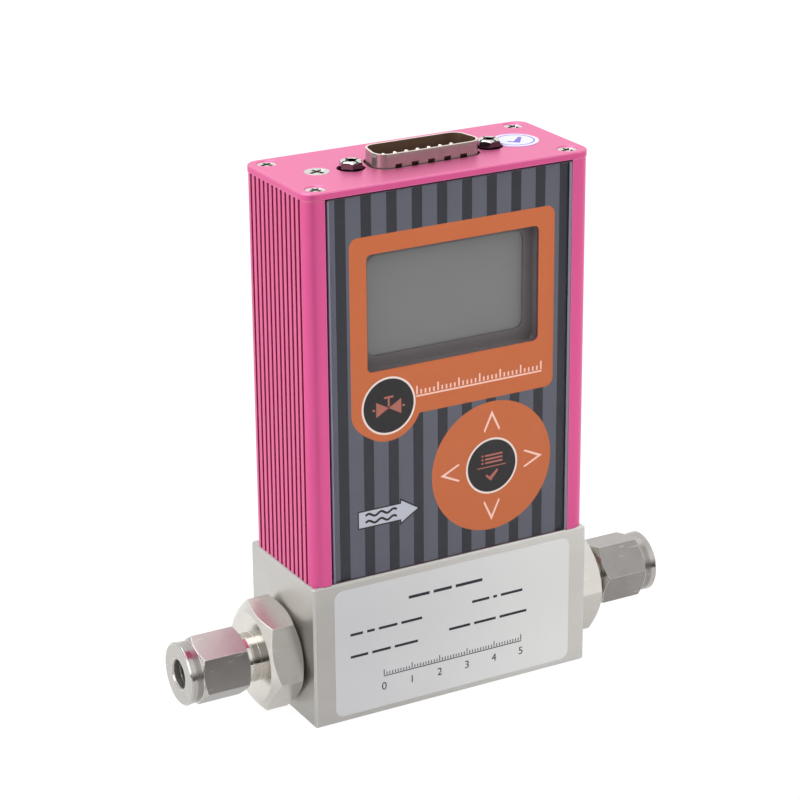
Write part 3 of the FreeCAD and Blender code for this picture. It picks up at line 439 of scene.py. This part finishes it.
def turned_steel(name):
    made, bench = new_finish(name)
    spot = where(bench).vector("SUBTRACT", (0.0, 0.0, FLOW_HEIGHT * MM))
    outward = bench.node("TexCoord", (), (), "Normal").vector("MULTIPLY", (0.0, 1.0, 1.0))
    reach = outward.vector("DOT_PRODUCT", spot, "Value") * PER_MM
    gaps = [(reach - half).absolute() for half in HALF_FLATS]
    fitting_flat, nut_flat = [1 - gap.between(0.04, 0.10) for gap in gaps]
    flat = bench.sum("MAXIMUM", fitting_flat, nut_flat)
    x, y, z = spot.split()
    radius = bench.sum("SQRT", y * y + z * z)
    away = x.absolute() * PER_MM
    nut = away.between(NECK_OUTER - 0.1, NECK_OUTER)
    out = radius * PER_MM
    bore = 1 - out.between(BORE_RADIUS + 0.05, BORE_RADIUS + 0.2)
    neck = away.between(NECK_INNER - 0.1, NECK_INNER)
    neck = neck * (1 - away.between(NECK_OUTER, NECK_OUTER + 0.1))
    neck = neck * (1 - out.between(NECK_RADIUS + 0.1, NECK_RADIUS + 0.3))
    pitch = 1 / (RING_PITCH * MM)
    rings_at = bench.node("CombineXYZ", (), {0: x * pitch, 1: radius * pitch, 2: 0.0})
    rings = bench.node("TexNoise", (), {"Vector": rings_at, "Scale": 1.0, "Detail": 3.0})
    drawn = grain(bench, 0.28, (50.0, 1.0, 1.0))
    lines = rings + (drawn - rings) * flat
    scratch = grain(bench, 0.5, (9.0, 1.0, 1.0), 1.0).between(0.70, 0.74)
    patch = grain(bench, 3.5)
    soft = rounded(bench, 0.22)
    edge = edges(bench, soft)
    shade = (lines * 0.25 + patch * 0.75).mix(tint(202, 198, 191), tint(220, 216, 210))
    shade = nut.mix(shade, patch.mix(tint(172, 169, 164), tint(190, 187, 182)))
    # painted dark reflection: the nut's flats are painted darker
    shade = nut_flat.mix(shade, patch.mix(tint(142, 138, 136), tint(158, 154, 151)))
    # painted light: the nut's top flats are painted paler
    lit_top_flats = nut_flat * facing(bench)[2].between(0.75, 0.90)
    shade = lit_top_flats.mix(shade, patch.mix(tint(168, 164, 161), tint(184, 180, 177)))
    # painted highlight on the edges, with the real pale scratches
    colour = bench.sum("MAXIMUM", edge, scratch * 0.4).mix(shade, tint(234, 232, 228))
    dull = 0.11 + flat * 0.13 + lines * 0.06 + patch * 0.05
    dull = dull + scratch * 0.1 + bore * 0.3 + lit_top_flats * 0.06
    rough = dull * (1 - neck * 0.65)
    height = (lines * (0.6 - flat * 0.35) + scratch * 0.3) * (1 - neck * 0.8)
    return close(
        made, bench, Base_Color=colour, Metallic=1.0, Roughness=rough,
        Normal=bump(bench, height, 0.0035, soft=soft),
    )


finishes["stainless_turned"] = turned_steel("stainless_turned")
print("made stainless_turned")

# %% [markdown]
# ## Pink anodised aluminium
# Anodising grows a clear hard skin on aluminium and a dye soaks into it, so the
# metal still shines through the colour. The extrusion keeps faint upright lines
# from its die, and the lid was blasted, which leaves an even satin grain. Edges
# and upward faces get a painted pale highlight, and the floors of the side grooves
# and of the film's channel a painted dark shade. A thin clear coat stands for the
# skin, which adds a white sheen where the light grazes.

# %% Anodised skin
case_low, case_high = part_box("housing")
CASE_HALF = case_high.x / MM
CASE_FRONT = case_low.y / MM
CASE_TOP = case_high.z / MM
CASE_MIDDLE_Y = (case_low.y + case_high.y) / 2 / MM
GROOVED_HALF = 11.6
CHANNEL_HALF = 30.0
# painted shade colours for the groove floors and the film's channel floor
GROOVE_SHADE = tint(172, 30, 96)
CHANNEL_SHADE = tint(96, 18, 66)


def anodised(name, deep, pale, painted_highlight):
    made, bench = new_finish(name)
    upward = facing(bench)[2].absolute().between(0.4, 0.6)
    drawn = grain(bench, 0.25, (1.0, 1.0, 80.0))
    blasted = grain(bench, 0.14, detail=3.0)
    cloud = grain(bench, 14.0)
    soft = rounded(bench, 0.20)
    edge = edges(bench, soft)
    x, y, z = where(bench).vector("MULTIPLY", [PER_MM] * 3).split()
    sunk = CASE_HALF - x.absolute()
    # painted shade: the floors of the side grooves are painted dark
    groove_shade_mask = sunk.between(0.10, 0.35) * (1 - sunk.between(1.0, 1.2))
    off_middle = (y - CASE_MIDDLE_Y).absolute()
    groove_shade_mask = groove_shade_mask * (1 - off_middle.between(GROOVED_HALF, GROOVED_HALF + 0.2))
    groove_shade_mask = groove_shade_mask * (1 - z.between(CASE_TOP - 0.1, CASE_TOP))
    # painted shade: the channel floor beside the film is painted dark
    behind_front = y - CASE_FRONT
    channel_shade_mask = behind_front.between(0.10, 0.25) * (1 - behind_front.between(1.2, 1.4))
    channel_shade_mask = channel_shade_mask * (facing(bench)[1] * -1).between(0.7, 0.9)
    channel_shade_mask = channel_shade_mask * (1 - x.absolute().between(CHANNEL_HALF - 0.1, CHANNEL_HALF + 0.1))
    lines = drawn + (blasted - drawn) * upward
    shade = (lines * 0.35 + cloud * 0.65).mix(deep, pale)
    # painted highlight: upward faces and edges are painted paler
    shade = (upward * 0.14).mix(shade, painted_highlight)
    colour = groove_shade_mask.mix((edge * 0.7).mix(shade, painted_highlight), GROOVE_SHADE)
    colour = channel_shade_mask.mix(colour, CHANNEL_SHADE)
    rough = 0.34 + blasted * 0.10 + cloud * 0.06
    height = blasted * 0.6 + drawn * 0.4
    return close(
        made, bench, Base_Color=colour, Metallic=0.78, Roughness=rough,
        Coat_Weight=0.12, Coat_Roughness=0.3, Normal=bump(bench, height, 0.010, soft=soft),
    )


finishes["anodised_pink"] = anodised(
    "anodised_pink", tint(219, 85, 145), tint(229, 97, 157), tint(254, 188, 218),
)
print("made anodised_pink")

# %% [markdown]
# ## Plated and plain metals
# The screws and the jack posts are nickel plated. The plating is a mirror with
# a faint warm tone, dulled in patches by handling. Their sides get a painted dark
# reflection and their edges a painted highlight. The contacts are dull gold, with
# a painted highlight at their tips. Bare aluminium and copper within the case
# share the recipe.

# %% Plated metals
PIN_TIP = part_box("connector_pins")[1].z / MM


def plated(name, dark, light, rough_low, rough_high, tip_glint=None, side_shade=1.0):
    made, bench = new_finish(name)
    patch = grain(bench, 1.6)
    fine = grain(bench, 0.10)
    soft = rounded(bench, 0.12)
    edge = edges(bench, soft)
    # painted highlight: the edges are painted paler
    colour = edge.mix(patch.mix(dark, light), scaled(light, 1.25))
    # painted dark reflection: faces that do not look up are painted darker
    if side_shade < 1.0:
        upward = facing(bench)[2].between(0.3, 0.7)
        shaded_side = patch.mix(scaled(dark, side_shade), scaled(light, side_shade))
        colour = upward.mix(shaded_side, colour)
    # painted highlight at the contacts' tips
    if tip_glint:
        tip_glint_mask = (where(bench).split()[2] * PER_MM).between(PIN_TIP - 1.2, PIN_TIP - 0.5)
        colour = tip_glint_mask.mix(colour, tip_glint)
    rough = rough_low + patch * (rough_high - rough_low) + fine * 0.04
    return close(
        made, bench, Base_Color=colour, Metallic=1.0, Roughness=rough,
        Normal=bump(bench, fine, 0.003, soft=soft),
    )


# columns: dark, light, lowest and highest roughness, painted tip highlight, painted side shade
METALS = {
    "nickel": (tint(206, 202, 198), tint(230, 227, 223), 0.05, 0.14, None, 0.14),
    "gold_plate": (tint(96, 78, 52), tint(124, 102, 70), 0.20, 0.32, tint(246, 238, 226)),
    "aluminium_plain": (tint(196, 197, 200), tint(212, 213, 215), 0.28, 0.40),
    "copper_wire": (tint(176, 98, 58), tint(206, 126, 80), 0.28, 0.38),
}
for name, recipe in METALS.items():
    finishes[name] = plated(name, *recipe)
print("made", ", ".join(METALS))

# %% [markdown]
# ## The connector's shell
# The shell is drawn from thin sheet and then plated, so it keeps the press
# tool's dullness. Inside it and in its pressed dents it is painted dark as painted
# shade, and its rim and edges get a painted highlight. A wall faces inward when
# its direction points back toward the shell's middle.

# %% Shell metal
SHELL_HALF_DEPTH = 4.6
DENTED_HALF = 9.2


def shell_metal(name):
    made, bench = new_finish(name)
    low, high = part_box("connector_shell")
    middle = (low + high) / 2
    spot = where(bench).vector("SUBTRACT", tuple(middle))
    direction = bench.node("TexCoord", (), (), "Normal")
    outward = direction.vector("DOT_PRODUCT", spot, "Value") * PER_MM
    inside_shade = outward.between(0.0, -1.0)
    sunk = spot.split()[1] * PER_MM + SHELL_HALF_DEPTH
    dent_shade = sunk.between(0.2, 0.35) * (1 - sunk.between(0.7, 0.9))
    sideways = (spot.split()[0] * PER_MM).absolute()
    dent_shade = dent_shade * (1 - sideways.between(DENTED_HALF, DENTED_HALF + 0.1))
    rim_highlight = facing(bench)[2].between(0.5, 0.8)
    patch = grain(bench, 1.6)
    fine = grain(bench, 0.10)
    soft = rounded(bench, 0.12)
    edge = edges(bench, soft)
    colour = patch.mix(tint(146, 144, 136), tint(174, 170, 162))
    # painted shade on the inward walls
    colour = inside_shade.mix(colour, tint(118, 92, 75))
    # painted shade in the dents
    colour = dent_shade.mix(colour, tint(74, 56, 46))
    # painted highlight on the edges and the upward rim
    colour = bench.sum("MAXIMUM", edge, rim_highlight).mix(colour, tint(244, 230, 218))
    rough = 0.10 + patch * 0.12 + inside_shade * 0.3
    return close(
        made, bench, Base_Color=colour, Metallic=0.65, Roughness=rough,
        Normal=bump(bench, fine, 0.003, soft=soft),
    )


finishes["shell_nickel"] = shell_metal("shell_nickel")
print("made shell_nickel")

# %% [markdown]
# ## Moulded plastics, rubber and foam
# A moulding takes the texture of its mould: a fine leather-like grain. Foam has
# cells instead, which a Voronoi texture gives.

# %% Moulded finishes


def moulded(name, dark, light, rough, grain_size, depth, cells=False):
    made, bench = new_finish(name)
    if cells:
        place = where(bench).vector("MULTIPLY", [1 / (grain_size * MM)] * 3)
        texture = bench.node("TexVoronoi", (), {"Vector": place, "Scale": 1.0}, "Distance")
    else:
        texture = grain(bench, grain_size)
    cloud = grain(bench, 5.0)
    colour = (texture * 0.5 + cloud * 0.5).mix(dark, light)
    return close(
        made, bench, Base_Color=colour, Roughness=rough + cloud * 0.1,
        Normal=bump(bench, texture, depth),
    )


MOULDINGS = {
    "plastic_black": (tint(96, 77, 62), tint(110, 90, 73), 0.42, 0.18, 0.02),
    "plastic_grey": (tint(138, 138, 140), tint(148, 148, 150), 0.45, 0.2, 0.02),
    "rubber_black": (tint(36, 36, 37), tint(48, 48, 49), 0.6, 0.3, 0.03),
    "foam_black": (tint(102, 98, 99), tint(112, 108, 109), 0.8, 0.35, 0.03, True),
    "polyimide": (tint(176, 104, 30), tint(192, 120, 44), 0.3, 0.5, 0.01),
}
for name, recipe in MOULDINGS.items():
    finishes[name] = moulded(name, *recipe)
print("made", ", ".join(MOULDINGS))

# %% [markdown]
# ## The circuit boards
# The solder mask is a thin green lacquer over copper tracks, so the tracks show
# as a paler green grid of runs. A Brick texture gives such runs cheaply.

# %% Solder mask


def solder_mask(name):
    made, bench = new_finish(name)
    stood = {"Vector": where(bench), "Rotation": (math.pi / 2, 0.0, 0.0)}
    place = bench.node("Mapping", (), stood)
    tracks = bench.node(
        "TexBrick", {"offset": 0.37},
        {"Vector": place, "Scale": 900.0, "Color1": tint(30, 92, 52), "Color2": tint(26, 84, 46),
         "Mortar": tint(46, 118, 70), "Mortar Size": 0.035},
    )
    speck = grain(bench, 0.3)
    return close(
        made, bench, Base_Color=tracks, Roughness=0.28 + speck * 0.1,
        Normal=bump(bench, speck, 0.01),
    )


finishes["board_green"] = solder_mask("board_green")
print("made board_green")

# %% [markdown]
# ## Ink behind a clear film
# The keypad's front is printed in reverse on the back of a polyester film. The
# ink is an even flat colour with a very faint mottle, and its shine is that of
# the film in front of it: a soft satin with a little orange peel.

# %% Inks


def ink(name, colour):
    made, bench = new_finish(name)
    mottle = grain(bench, 1.4)
    dots = grain(bench, 0.16)
    shade = (mottle * 0.6 + dots * 0.4).mix(scaled(colour, 0.96), scaled(colour, 1.05))
    peel = grain(bench, 0.9)
    return close(
        made, bench, Base_Color=shade, Roughness=0.48 + mottle * 0.06,
        Specular_IOR_Level=0.2, Coat_Weight=0.30, Coat_Roughness=0.22,
        Normal=bump(bench, peel, 0.010, 0.5),
    )


INKS = {
    "ink_grey": tint(90, 92, 104),
    "ink_charcoal": tint(40, 41, 50),
    "ink_orange": tint(200, 104, 56),
    "ink_black": tint(30, 27, 30),
    "ink_white": tint(238, 222, 216),
    "ink_blush": tint(250, 206, 192),
    "ink_silver": tint(192, 195, 207),
}
for name, colour in INKS.items():
    finishes[name] = ink(name, colour)
print("made", ", ".join(INKS))

# %% [markdown]
# ## The film, the display, the label and the seal
# The film itself is nearly invisible, so it is mostly transparent, with a touch
# of grey haze. Its cut sides carry a painted pale highlight, and its top edge a
# painted shadow of the lid. An unlit liquid crystal display is a grey glass with
# a very fine grid of cells. The label and the round seal are printed stock, both
# painted paler toward the right as a painted light gradient.

# %% Film, glass and paper
film_low, film_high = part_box("front_film")
FILM_LEFT = film_low.x / MM
FILM_RIGHT = film_high.x / MM
FILM_TOP = film_high.z / MM
CELL_PITCH = 0.30


def clear_film(name):
    made, bench = new_finish(name)
    haze = grain(bench, 2.5)
    x, _, z = where(bench).vector("MULTIPLY", [PER_MM] * 3).split()
    # painted highlight along the cut sides
    cut_left = x.between(FILM_LEFT + 0.40, FILM_LEFT + 0.25)
    cut_right = x.between(FILM_RIGHT - 0.80, FILM_RIGHT - 0.65)
    # painted shadow of the lid along the top edge
    under_lid = z.between(FILM_TOP - 0.30, FILM_TOP - 0.15)
    colour = haze.mix(tint(150, 150, 152), tint(170, 170, 172))
    colour = (cut_left + cut_right).mix(colour, tint(146, 138, 160))
    colour = under_lid.mix(colour, tint(62, 24, 56))
    glint_and_lid_shadow = bench.sum("MAXIMUM", cut_left + cut_right, under_lid)
    return close(
        made, bench, Base_Color=colour, Roughness=0.22 + haze * 0.06,
        Alpha=0.006 + haze * 0.01 + glint_and_lid_shadow * 0.72,
    )


def display_glass(name):
    made, bench = new_finish(name)
    x, _, z = where(bench).vector("MULTIPLY", [1 / (CELL_PITCH * MM)] * 3).split()
    columns = bench.sum("PINGPONG", x, 0.5) * 2
    rows = bench.sum("PINGPONG", z, 0.5) * 2
    cell = columns.between(0.0, 0.2) * rows.between(0.0, 0.2)
    depth = grain(bench, 16.0)
    shade = depth.mix(tint(110, 111, 111), tint(120, 121, 121))
    colour = cell.mix(tint(112, 113, 113), shade)
    return close(
        made, bench, Base_Color=colour, Roughness=0.25 + depth * 0.08,
        Coat_Weight=0.3, Coat_Roughness=0.1, Normal=bump(bench, cell, 0.002, 0.4),
    )


def printed_stock(name, dark, light, rough):
    made, bench = new_finish(name)
    fibre = grain(bench, 0.25, (3.0, 3.0, 1.0))
    cloud = grain(bench, 9.0)
    # painted light: the stock is painted paler toward the right
    run = where(bench).split()[0].between(-RUN_HALF, RUN_HALF)
    colour = (fibre * 0.15 + cloud * 0.15 + run * 0.7).mix(dark, light)
    return close(
        made, bench, Base_Color=colour, Roughness=rough + cloud * 0.08,
        Normal=bump(bench, fibre, 0.006, 0.6),
    )


finishes["film_clear"] = clear_film("film_clear")
finishes["display_grey"] = display_glass("display_grey")
finishes["label_white"] = printed_stock(
    "label_white", tint(200, 200, 204), tint(230, 231, 229), 0.36,
)
finishes["seal_paper"] = printed_stock(
    "seal_paper", tint(202, 203, 238), tint(214, 215, 246), 0.45,
)
print("finishes:", len(finishes))

# %% [markdown]
# ## Dressing the packed nodes
# Each packed node already names its material slot, so one loop swaps the plain
# material for the finish of the same name. The chevrons get a white that the
# orange ink under it has tinged, and the connector's shell its duller nickel.

# %% Swap the finishes
OWN_FINISH = {"print_chevrons": "ink_blush", "connector_shell": "shell_nickel"}
for node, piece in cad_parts.items():
    slot = piece.material_slots[0].material.name.split(".")[0]
    piece.material_slots[0].material = finishes[OWN_FINISH.get(node, slot)]
print("dressed", len(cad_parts), "nodes")

# %% [markdown]
# ## Print as thin solids
# Symbols and scales are cut from flat outlines. A two-dimensional curve fills
# its outlines and leaves the inner ones open, and its extrusion gives the layer
# a thickness, so each mark becomes a thin closed solid. The same helper lays a
# layer on the front, facing the reader, or on the lid, facing up.

# %% Printed layers
FRONTWAYS = Matrix(((1, 0, 0), (0, 0, -1), (0, 1, 0))).to_4x4()


def flat_layer(name, curve, thickness, level, upright, finish):
    """Turns a flat curve, in millimetres, into a thin solid that rides on the meter."""
    curve.dimensions = "2D"
    curve.fill_mode = "BOTH"
    curve.extrude = thickness / 2
    holder = bpy.data.objects.new(name, curve)
    bpy.context.scene.collection.objects.link(holder)
    bpy.context.view_layer.update()
    seen = holder.evaluated_get(bpy.context.evaluated_depsgraph_get())
    mesh = bpy.data.meshes.new_from_object(seen)
    bpy.data.objects.remove(holder)
    lift = Matrix.Translation((0, 0, level - thickness / 2))
    turn = FRONTWAYS if upright else Matrix.Identity(4)
    mesh.transform(Matrix.Scale(MM, 4) @ turn @ lift)
    mesh.materials.clear()
    mesh.materials.append(finishes[finish])
    piece = bpy.data.objects.new(name, mesh)
    bpy.context.scene.collection.objects.link(piece)
    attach(piece, "meter")
    return piece


def outlined(name, outlines):
    """A curve made of closed outlines, each a list of (across, up) in millimetres."""
    curve = bpy.data.curves.new(name, "CURVE")
    for outline in outlines:
        line = curve.splines.new("POLY")
        line.points.add(len(outline) - 1)
        for point, (across, up) in zip(line.points, outline):
            point.co = (across, up, 0.0, 1.0)
        line.use_cyclic_u = True
    return curve


def bar(x0, x1, z0, z1):
    return [(x0, z0), (x1, z0), (x1, z1), (x0, z1)]


def disc(x, z, radius, steps=48):
    turns = [2 * math.pi * step / steps for step in range(steps)]
    return [(x + radius * math.cos(turn), z + radius * math.sin(turn)) for turn in turns]


def stroke(points, width):
    """The outline of a line of even width, with mitred corners."""
    left, right = [], []
    for place, point in enumerate(points):
        before = Vector(points[max(place - 1, 0)])
        after = Vector(points[min(place + 1, len(points) - 1)])
        here = Vector(point)
        along = (after - before).normalized()
        across = Vector((-along.y, along.x))
        run = (here - before) if place else (after - here)
        square = Vector((-run.y, run.x)).normalized()
        reach = across * (width / 2) / max(0.45, across.dot(square))
        left.append(tuple(here + reach))
        right.append(tuple(here - reach))
    return left + right[::-1]


FILM_FRONT = -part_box("front_film")[0].y / MM
INK_FRONT = -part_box("print_ground")[0].y / MM
INK_LAYER = 0.03
print("film front, ink front, mm:", round(FILM_FRONT, 3), round(INK_FRONT, 3))

# %% [markdown]
# ## The panel's scale
# The wide orange panel carries a white scale under the window. Every fifth mark
# is a long one, as on any gauge, so the marks come from a loop.

# %% Panel scale
SCALE_LEFT, SCALE_RIGHT = -8.45, 22.4
SCALE_BASE = 72.05
SCALE_STEPS = 30


def tick_scale(x0, x1, base, steps, long_every, short, long, line):
    """A base line and its upright marks."""
    marks = []
    for step in range(steps + 1):
        x = x0 + (x1 - x0) * step / steps
        high = long if step % long_every == 0 else short
        foot = base + 1.6 * line
        marks.append(bar(x - line / 2, x + line / 2, foot, foot + high))
    return [bar(x0 - line / 2, x1 + line / 2, base, base + line)] + marks


scale_marks = tick_scale(
    SCALE_LEFT, SCALE_RIGHT, SCALE_BASE, SCALE_STEPS,
    long_every=5, short=1.0, long=1.9, line=0.36,
)
panel_scale = flat_layer(
    "panel_scale", outlined("panel_scale", scale_marks),
    INK_LAYER, INK_FRONT + INK_LAYER, True, "ink_blush",
)
print("panel marks:", SCALE_STEPS + 1)

# %% [markdown]
# ## The panel's lower left corner
# The orange panel swings round its key in one smooth line. A quadratic curve
# from the panel's side to the round lobe fills the small step between them.

# %% Panel corner
valve_low, valve_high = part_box("key_plunger_valve")
VALVE_X = (valve_low.x + valve_high.x) / 2 / MM
VALVE_Z = (valve_low.z + valve_high.z) / 2 / MM
PANEL_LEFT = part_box("print_orange")[0].x / MM
CORNER_STEPS = 12
LOBE_INSIDE = 7.3
LOBE_TURNS = (1.02, 0.75, 0.42, 0.15, 0.0)


def swing(start, pull, end):
    """Points on a quadratic curve, in millimetres."""
    path = []
    for step in range(CORNER_STEPS + 1):
        t = step / CORNER_STEPS
        early, midway, late = (1 - t) ** 2, 2 * t * (1 - t), t * t
        spot = [early * a + midway * b + late * c for a, b, c in zip(start, pull, end)]
        path.append(tuple(spot))
    return path


corner = swing(
    (PANEL_LEFT, VALVE_Z - 1.0), (PANEL_LEFT + 0.2, VALVE_Z - 4.3),
    (VALVE_X - 4.2, VALVE_Z - 6.8),
)
inner = [
    (VALVE_X - LOBE_INSIDE * math.cos(turn), VALVE_Z - LOBE_INSIDE * math.sin(turn))
    for turn in LOBE_TURNS
]
panel_corner = flat_layer(
    "panel_corner", outlined("panel_corner", [[(PANEL_LEFT, VALVE_Z)] + corner + inner]),
    INK_LAYER, INK_FRONT + INK_LAYER, True, "ink_orange",
)
print("valve key at, mm:", round(VALVE_X, 2), round(VALVE_Z, 2))

# %% [markdown]
# ## The symbols on the two round keys
# The upper key carries the sign for a valve in a pipe drawing: two triangles
# that meet at a point, on their pipe, with a stem and a handle above. The
# middle key carries a short menu list over a line, and a tick under it.

# %% Key symbols
menu_low, menu_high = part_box("key_plunger_menu")
PAD_X = (menu_low.x + menu_high.x) / 2 / MM
PAD_Z = (menu_low.z + menu_high.z) / 2 / MM


def valve_sign(x, z, half, height, line):
    """Two triangles point to point, a pipe to each side, and a stem with its handle."""
    left = [(x - half, z - height), (x, z), (x - half, z + height)]
    right = [(x + half, z - height), (x + half, z + height), (x, z)]
    pipes = [bar(x - half - 2 * line, x - half - 0.3, z - line / 2, z + line / 2),
             bar(x + half + 0.3, x + half + 2 * line, z - line / 2, z + line / 2)]
    stem = [bar(x - line / 2, x + line / 2, z + 0.35, z + height + 0.5),
            bar(x - 1.1, x + 1.1, z + height + 0.5, z + height + 0.5 + line)]
    return [left, right] + pipes + stem


def menu_sign(x, z):
    """Three list bars with their bullets, a line under them, and a tick."""
    marks = []
    for row in range(3):
        height = z + 2.35 - row * 0.85
        marks.append(bar(x - 2.6, x - 2.1, height, height + 0.42))
        marks.append(bar(x - 1.7, x + 2.7, height, height + 0.42))
    marks.append(bar(x - 3.6, x + 3.6, z - 0.25, z - 0.03))
    marks.append(stroke([(x - 1.4, z - 2.0), (x - 0.4, z - 3.0), (x + 1.5, z - 1.1)], 0.5))
    return marks


finishes["ink_copper"] = ink("ink_copper", tint(174, 102, 88))
valve_outlines = valve_sign(VALVE_X, VALVE_Z - 0.5, half=3.0, height=1.7, line=0.45)
valve_mark = flat_layer(
    "valve_mark", outlined("valve_mark", valve_outlines),
    INK_LAYER, INK_FRONT + INK_LAYER, True, "ink_copper",
)
menu_mark = flat_layer(
    "menu_mark", outlined("menu_mark", menu_sign(PAD_X, PAD_Z)),
    INK_LAYER, INK_FRONT + INK_LAYER, True, "ink_copper",
)
print("menu key at, mm:", round(PAD_X, 2), round(PAD_Z, 2))

# %% [markdown]
# ## The flow arrow's waves
# Two waves on the arrow's shaft say that it is the gas that goes this way.

# %% Waves
arrow_low, arrow_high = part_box("print_flow_arrow")
WAVE_LEFT = arrow_low.x / MM + 1.6
WAVE_RIGHT = WAVE_LEFT + 7.6
WAVE_Z = (arrow_low.z + arrow_high.z) / 2 / MM
WAVE_POINTS = 40
WAVE_OFFSETS = (-0.8, 0.8)


def wave(x0, x1, z, sway, turns, width):
    steps = [step / WAVE_POINTS for step in range(WAVE_POINTS + 1)]
    path = [(x0 + (x1 - x0) * s, z + sway * math.sin(2 * math.pi * turns * s)) for s in steps]
    return stroke(path, width)


waves = [
    wave(WAVE_LEFT, WAVE_RIGHT, WAVE_Z + offset, sway=0.34, turns=2.5, width=0.5)
    for offset in WAVE_OFFSETS
]
arrow_waves = flat_layer(
    "arrow_waves", outlined("arrow_waves", waves),
    INK_LAYER, INK_FRONT + INK_LAYER, True, "ink_black",
)
print("waves:", len(waves))

# %% [markdown]
# ## The name label
# The real label is thin printed stock, so it is made again here as a body a
# little thinner than its packed solid, and the print fills the difference. Its
# print is generic: form rows of plain bars and a flow scale with plain numbers.

# %% Label stock
LABEL_PRINT = 0.02
label_low, label_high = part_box("name_label")
LABEL_FRONT = -label_low.y / MM
LABEL_THICKNESS = (label_high.y - label_low.y) / MM
LABEL_CORNER = 2.0


def rounded_sheet(x0, x1, z0, z1, radius, steps=8):
    """A rectangle's outline with round corners."""
    points = []
    for x, z, start in ((x1 - radius, z0 + radius, -90), (x1 - radius, z1 - radius, 0),
                        (x0 + radius, z1 - radius, 90), (x0 + radius, z0 + radius, 180)):
        for step in range(steps + 1):
            turn = math.radians(start + 90 * step / steps)
            points.append((x + radius * math.cos(turn), z + radius * math.sin(turn)))
    return points


label_outline = rounded_sheet(
    label_low.x / MM, label_high.x / MM, label_low.z / MM, label_high.z / MM, LABEL_CORNER,
)
label_sheet = flat_layer(
    "label_sheet", outlined("label_sheet", [label_outline]), LABEL_THICKNESS - LABEL_PRINT,
    LABEL_FRONT - LABEL_PRINT, True, "label_white",
)
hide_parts("name_label")
print("label, mm:", [round(shaded_side / MM, 2) for shaded_side in label_high - label_low])

# %% [markdown]
# ## What the label says
# A title of three bars, two rows of paired fields under it, and below them a
# scale from 0 to 5 whose numbers are cut from Blender's own plain letters.

# %% Label print
FIELDS = (
    (-25.7, 20.2, (3.1, 1.9, 4.6, 5.2)),
    (4.8, 21.0, (4.4, 1.0, 5.6)),
    (-25.7, 14.9, (4.3, 4.6, 5.8)),
    (-1.1, 15.7, (5.4, 5.6, 7.0)),
)
TITLE = (-11.2, 25.8, (5.2, 4.6, 6.8))
TITLE_HEIGHT = 0.7
BAR_HEIGHT = 0.6
BAR_SPACE = 1.0
RULER_HALF = 17.5
RULER_BASE = 8.6
RULER_STEPS = 50
NUMBER_PITCH = 7.0
NUMBER_BASE = 5.4
NUMBER_HEIGHT = 2.6


def bar_row(x, z, widths, height):
    """Bars of given widths, side by side."""
    row = []
    for width in widths:
        row.append(bar(x, x + width, z, z + height))
        x += width + BAR_SPACE
    return row


def number(body, x, z, height):
    """A plain number, centred on a place."""
    text = bpy.data.curves.new("number_" + body, "FONT")
    text.body = body
    text.size = height
    text.align_x = "CENTER"
    text.offset_x = x
    text.offset_y = z
    return text


rows = bar_row(*TITLE, TITLE_HEIGHT)
for field in FIELDS:
    rows += bar_row(*field, BAR_HEIGHT)
rows += tick_scale(
    -RULER_HALF, RULER_HALF, RULER_BASE, RULER_STEPS,
    long_every=10, short=0.7, long=1.4, line=0.2,
)
label_print = flat_layer(
    "label_print", outlined("label_print", rows),
    LABEL_PRINT, LABEL_FRONT, True, "ink_charcoal",
)
for count in range(6):
    place = -RULER_HALF + NUMBER_PITCH * count
    flat_layer(
        f"label_number_{count}", number(str(count), place, NUMBER_BASE, NUMBER_HEIGHT),
        LABEL_PRINT, LABEL_FRONT, True, "ink_charcoal",
    )
print("label marks:", len(rows) + 6)

# %% [markdown]
# ## The seal over one screw
# A paper seal hides the rear pillar screw. A ring and a tick are its print.

# %% Seal print
seal_low, seal_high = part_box("screw_seal")
SEAL_X = (seal_low.x + seal_high.x) / 2 / MM
SEAL_Y = (seal_low.y + seal_high.y) / 2 / MM
SEAL_TOP = seal_high.z / MM
SEAL_LAYER = 0.02
SEAL_RING = (4.3, 4.0)
SEAL_TICK = ((-2.0, -0.2), (-0.6, -1.7), (2.2, 1.6))
SEAL_LINE = 0.75
finishes["ink_violet"] = ink("ink_violet", tint(112, 92, 190))
seal_marks = [disc(SEAL_X, SEAL_Y, radius) for radius in SEAL_RING]
seal_marks.append(stroke([(SEAL_X + x, SEAL_Y + y) for x, y in SEAL_TICK], SEAL_LINE))
seal_print = flat_layer(
    "seal_print", outlined("seal_print", seal_marks),
    SEAL_LAYER, SEAL_TOP + SEAL_LAYER, False, "ink_violet",
)
print("seal at, mm:", round(SEAL_X, 2), round(SEAL_Y, 2), round(SEAL_TOP, 2))

# %% [markdown]
# The visual model has to stay inside the packed model's box.
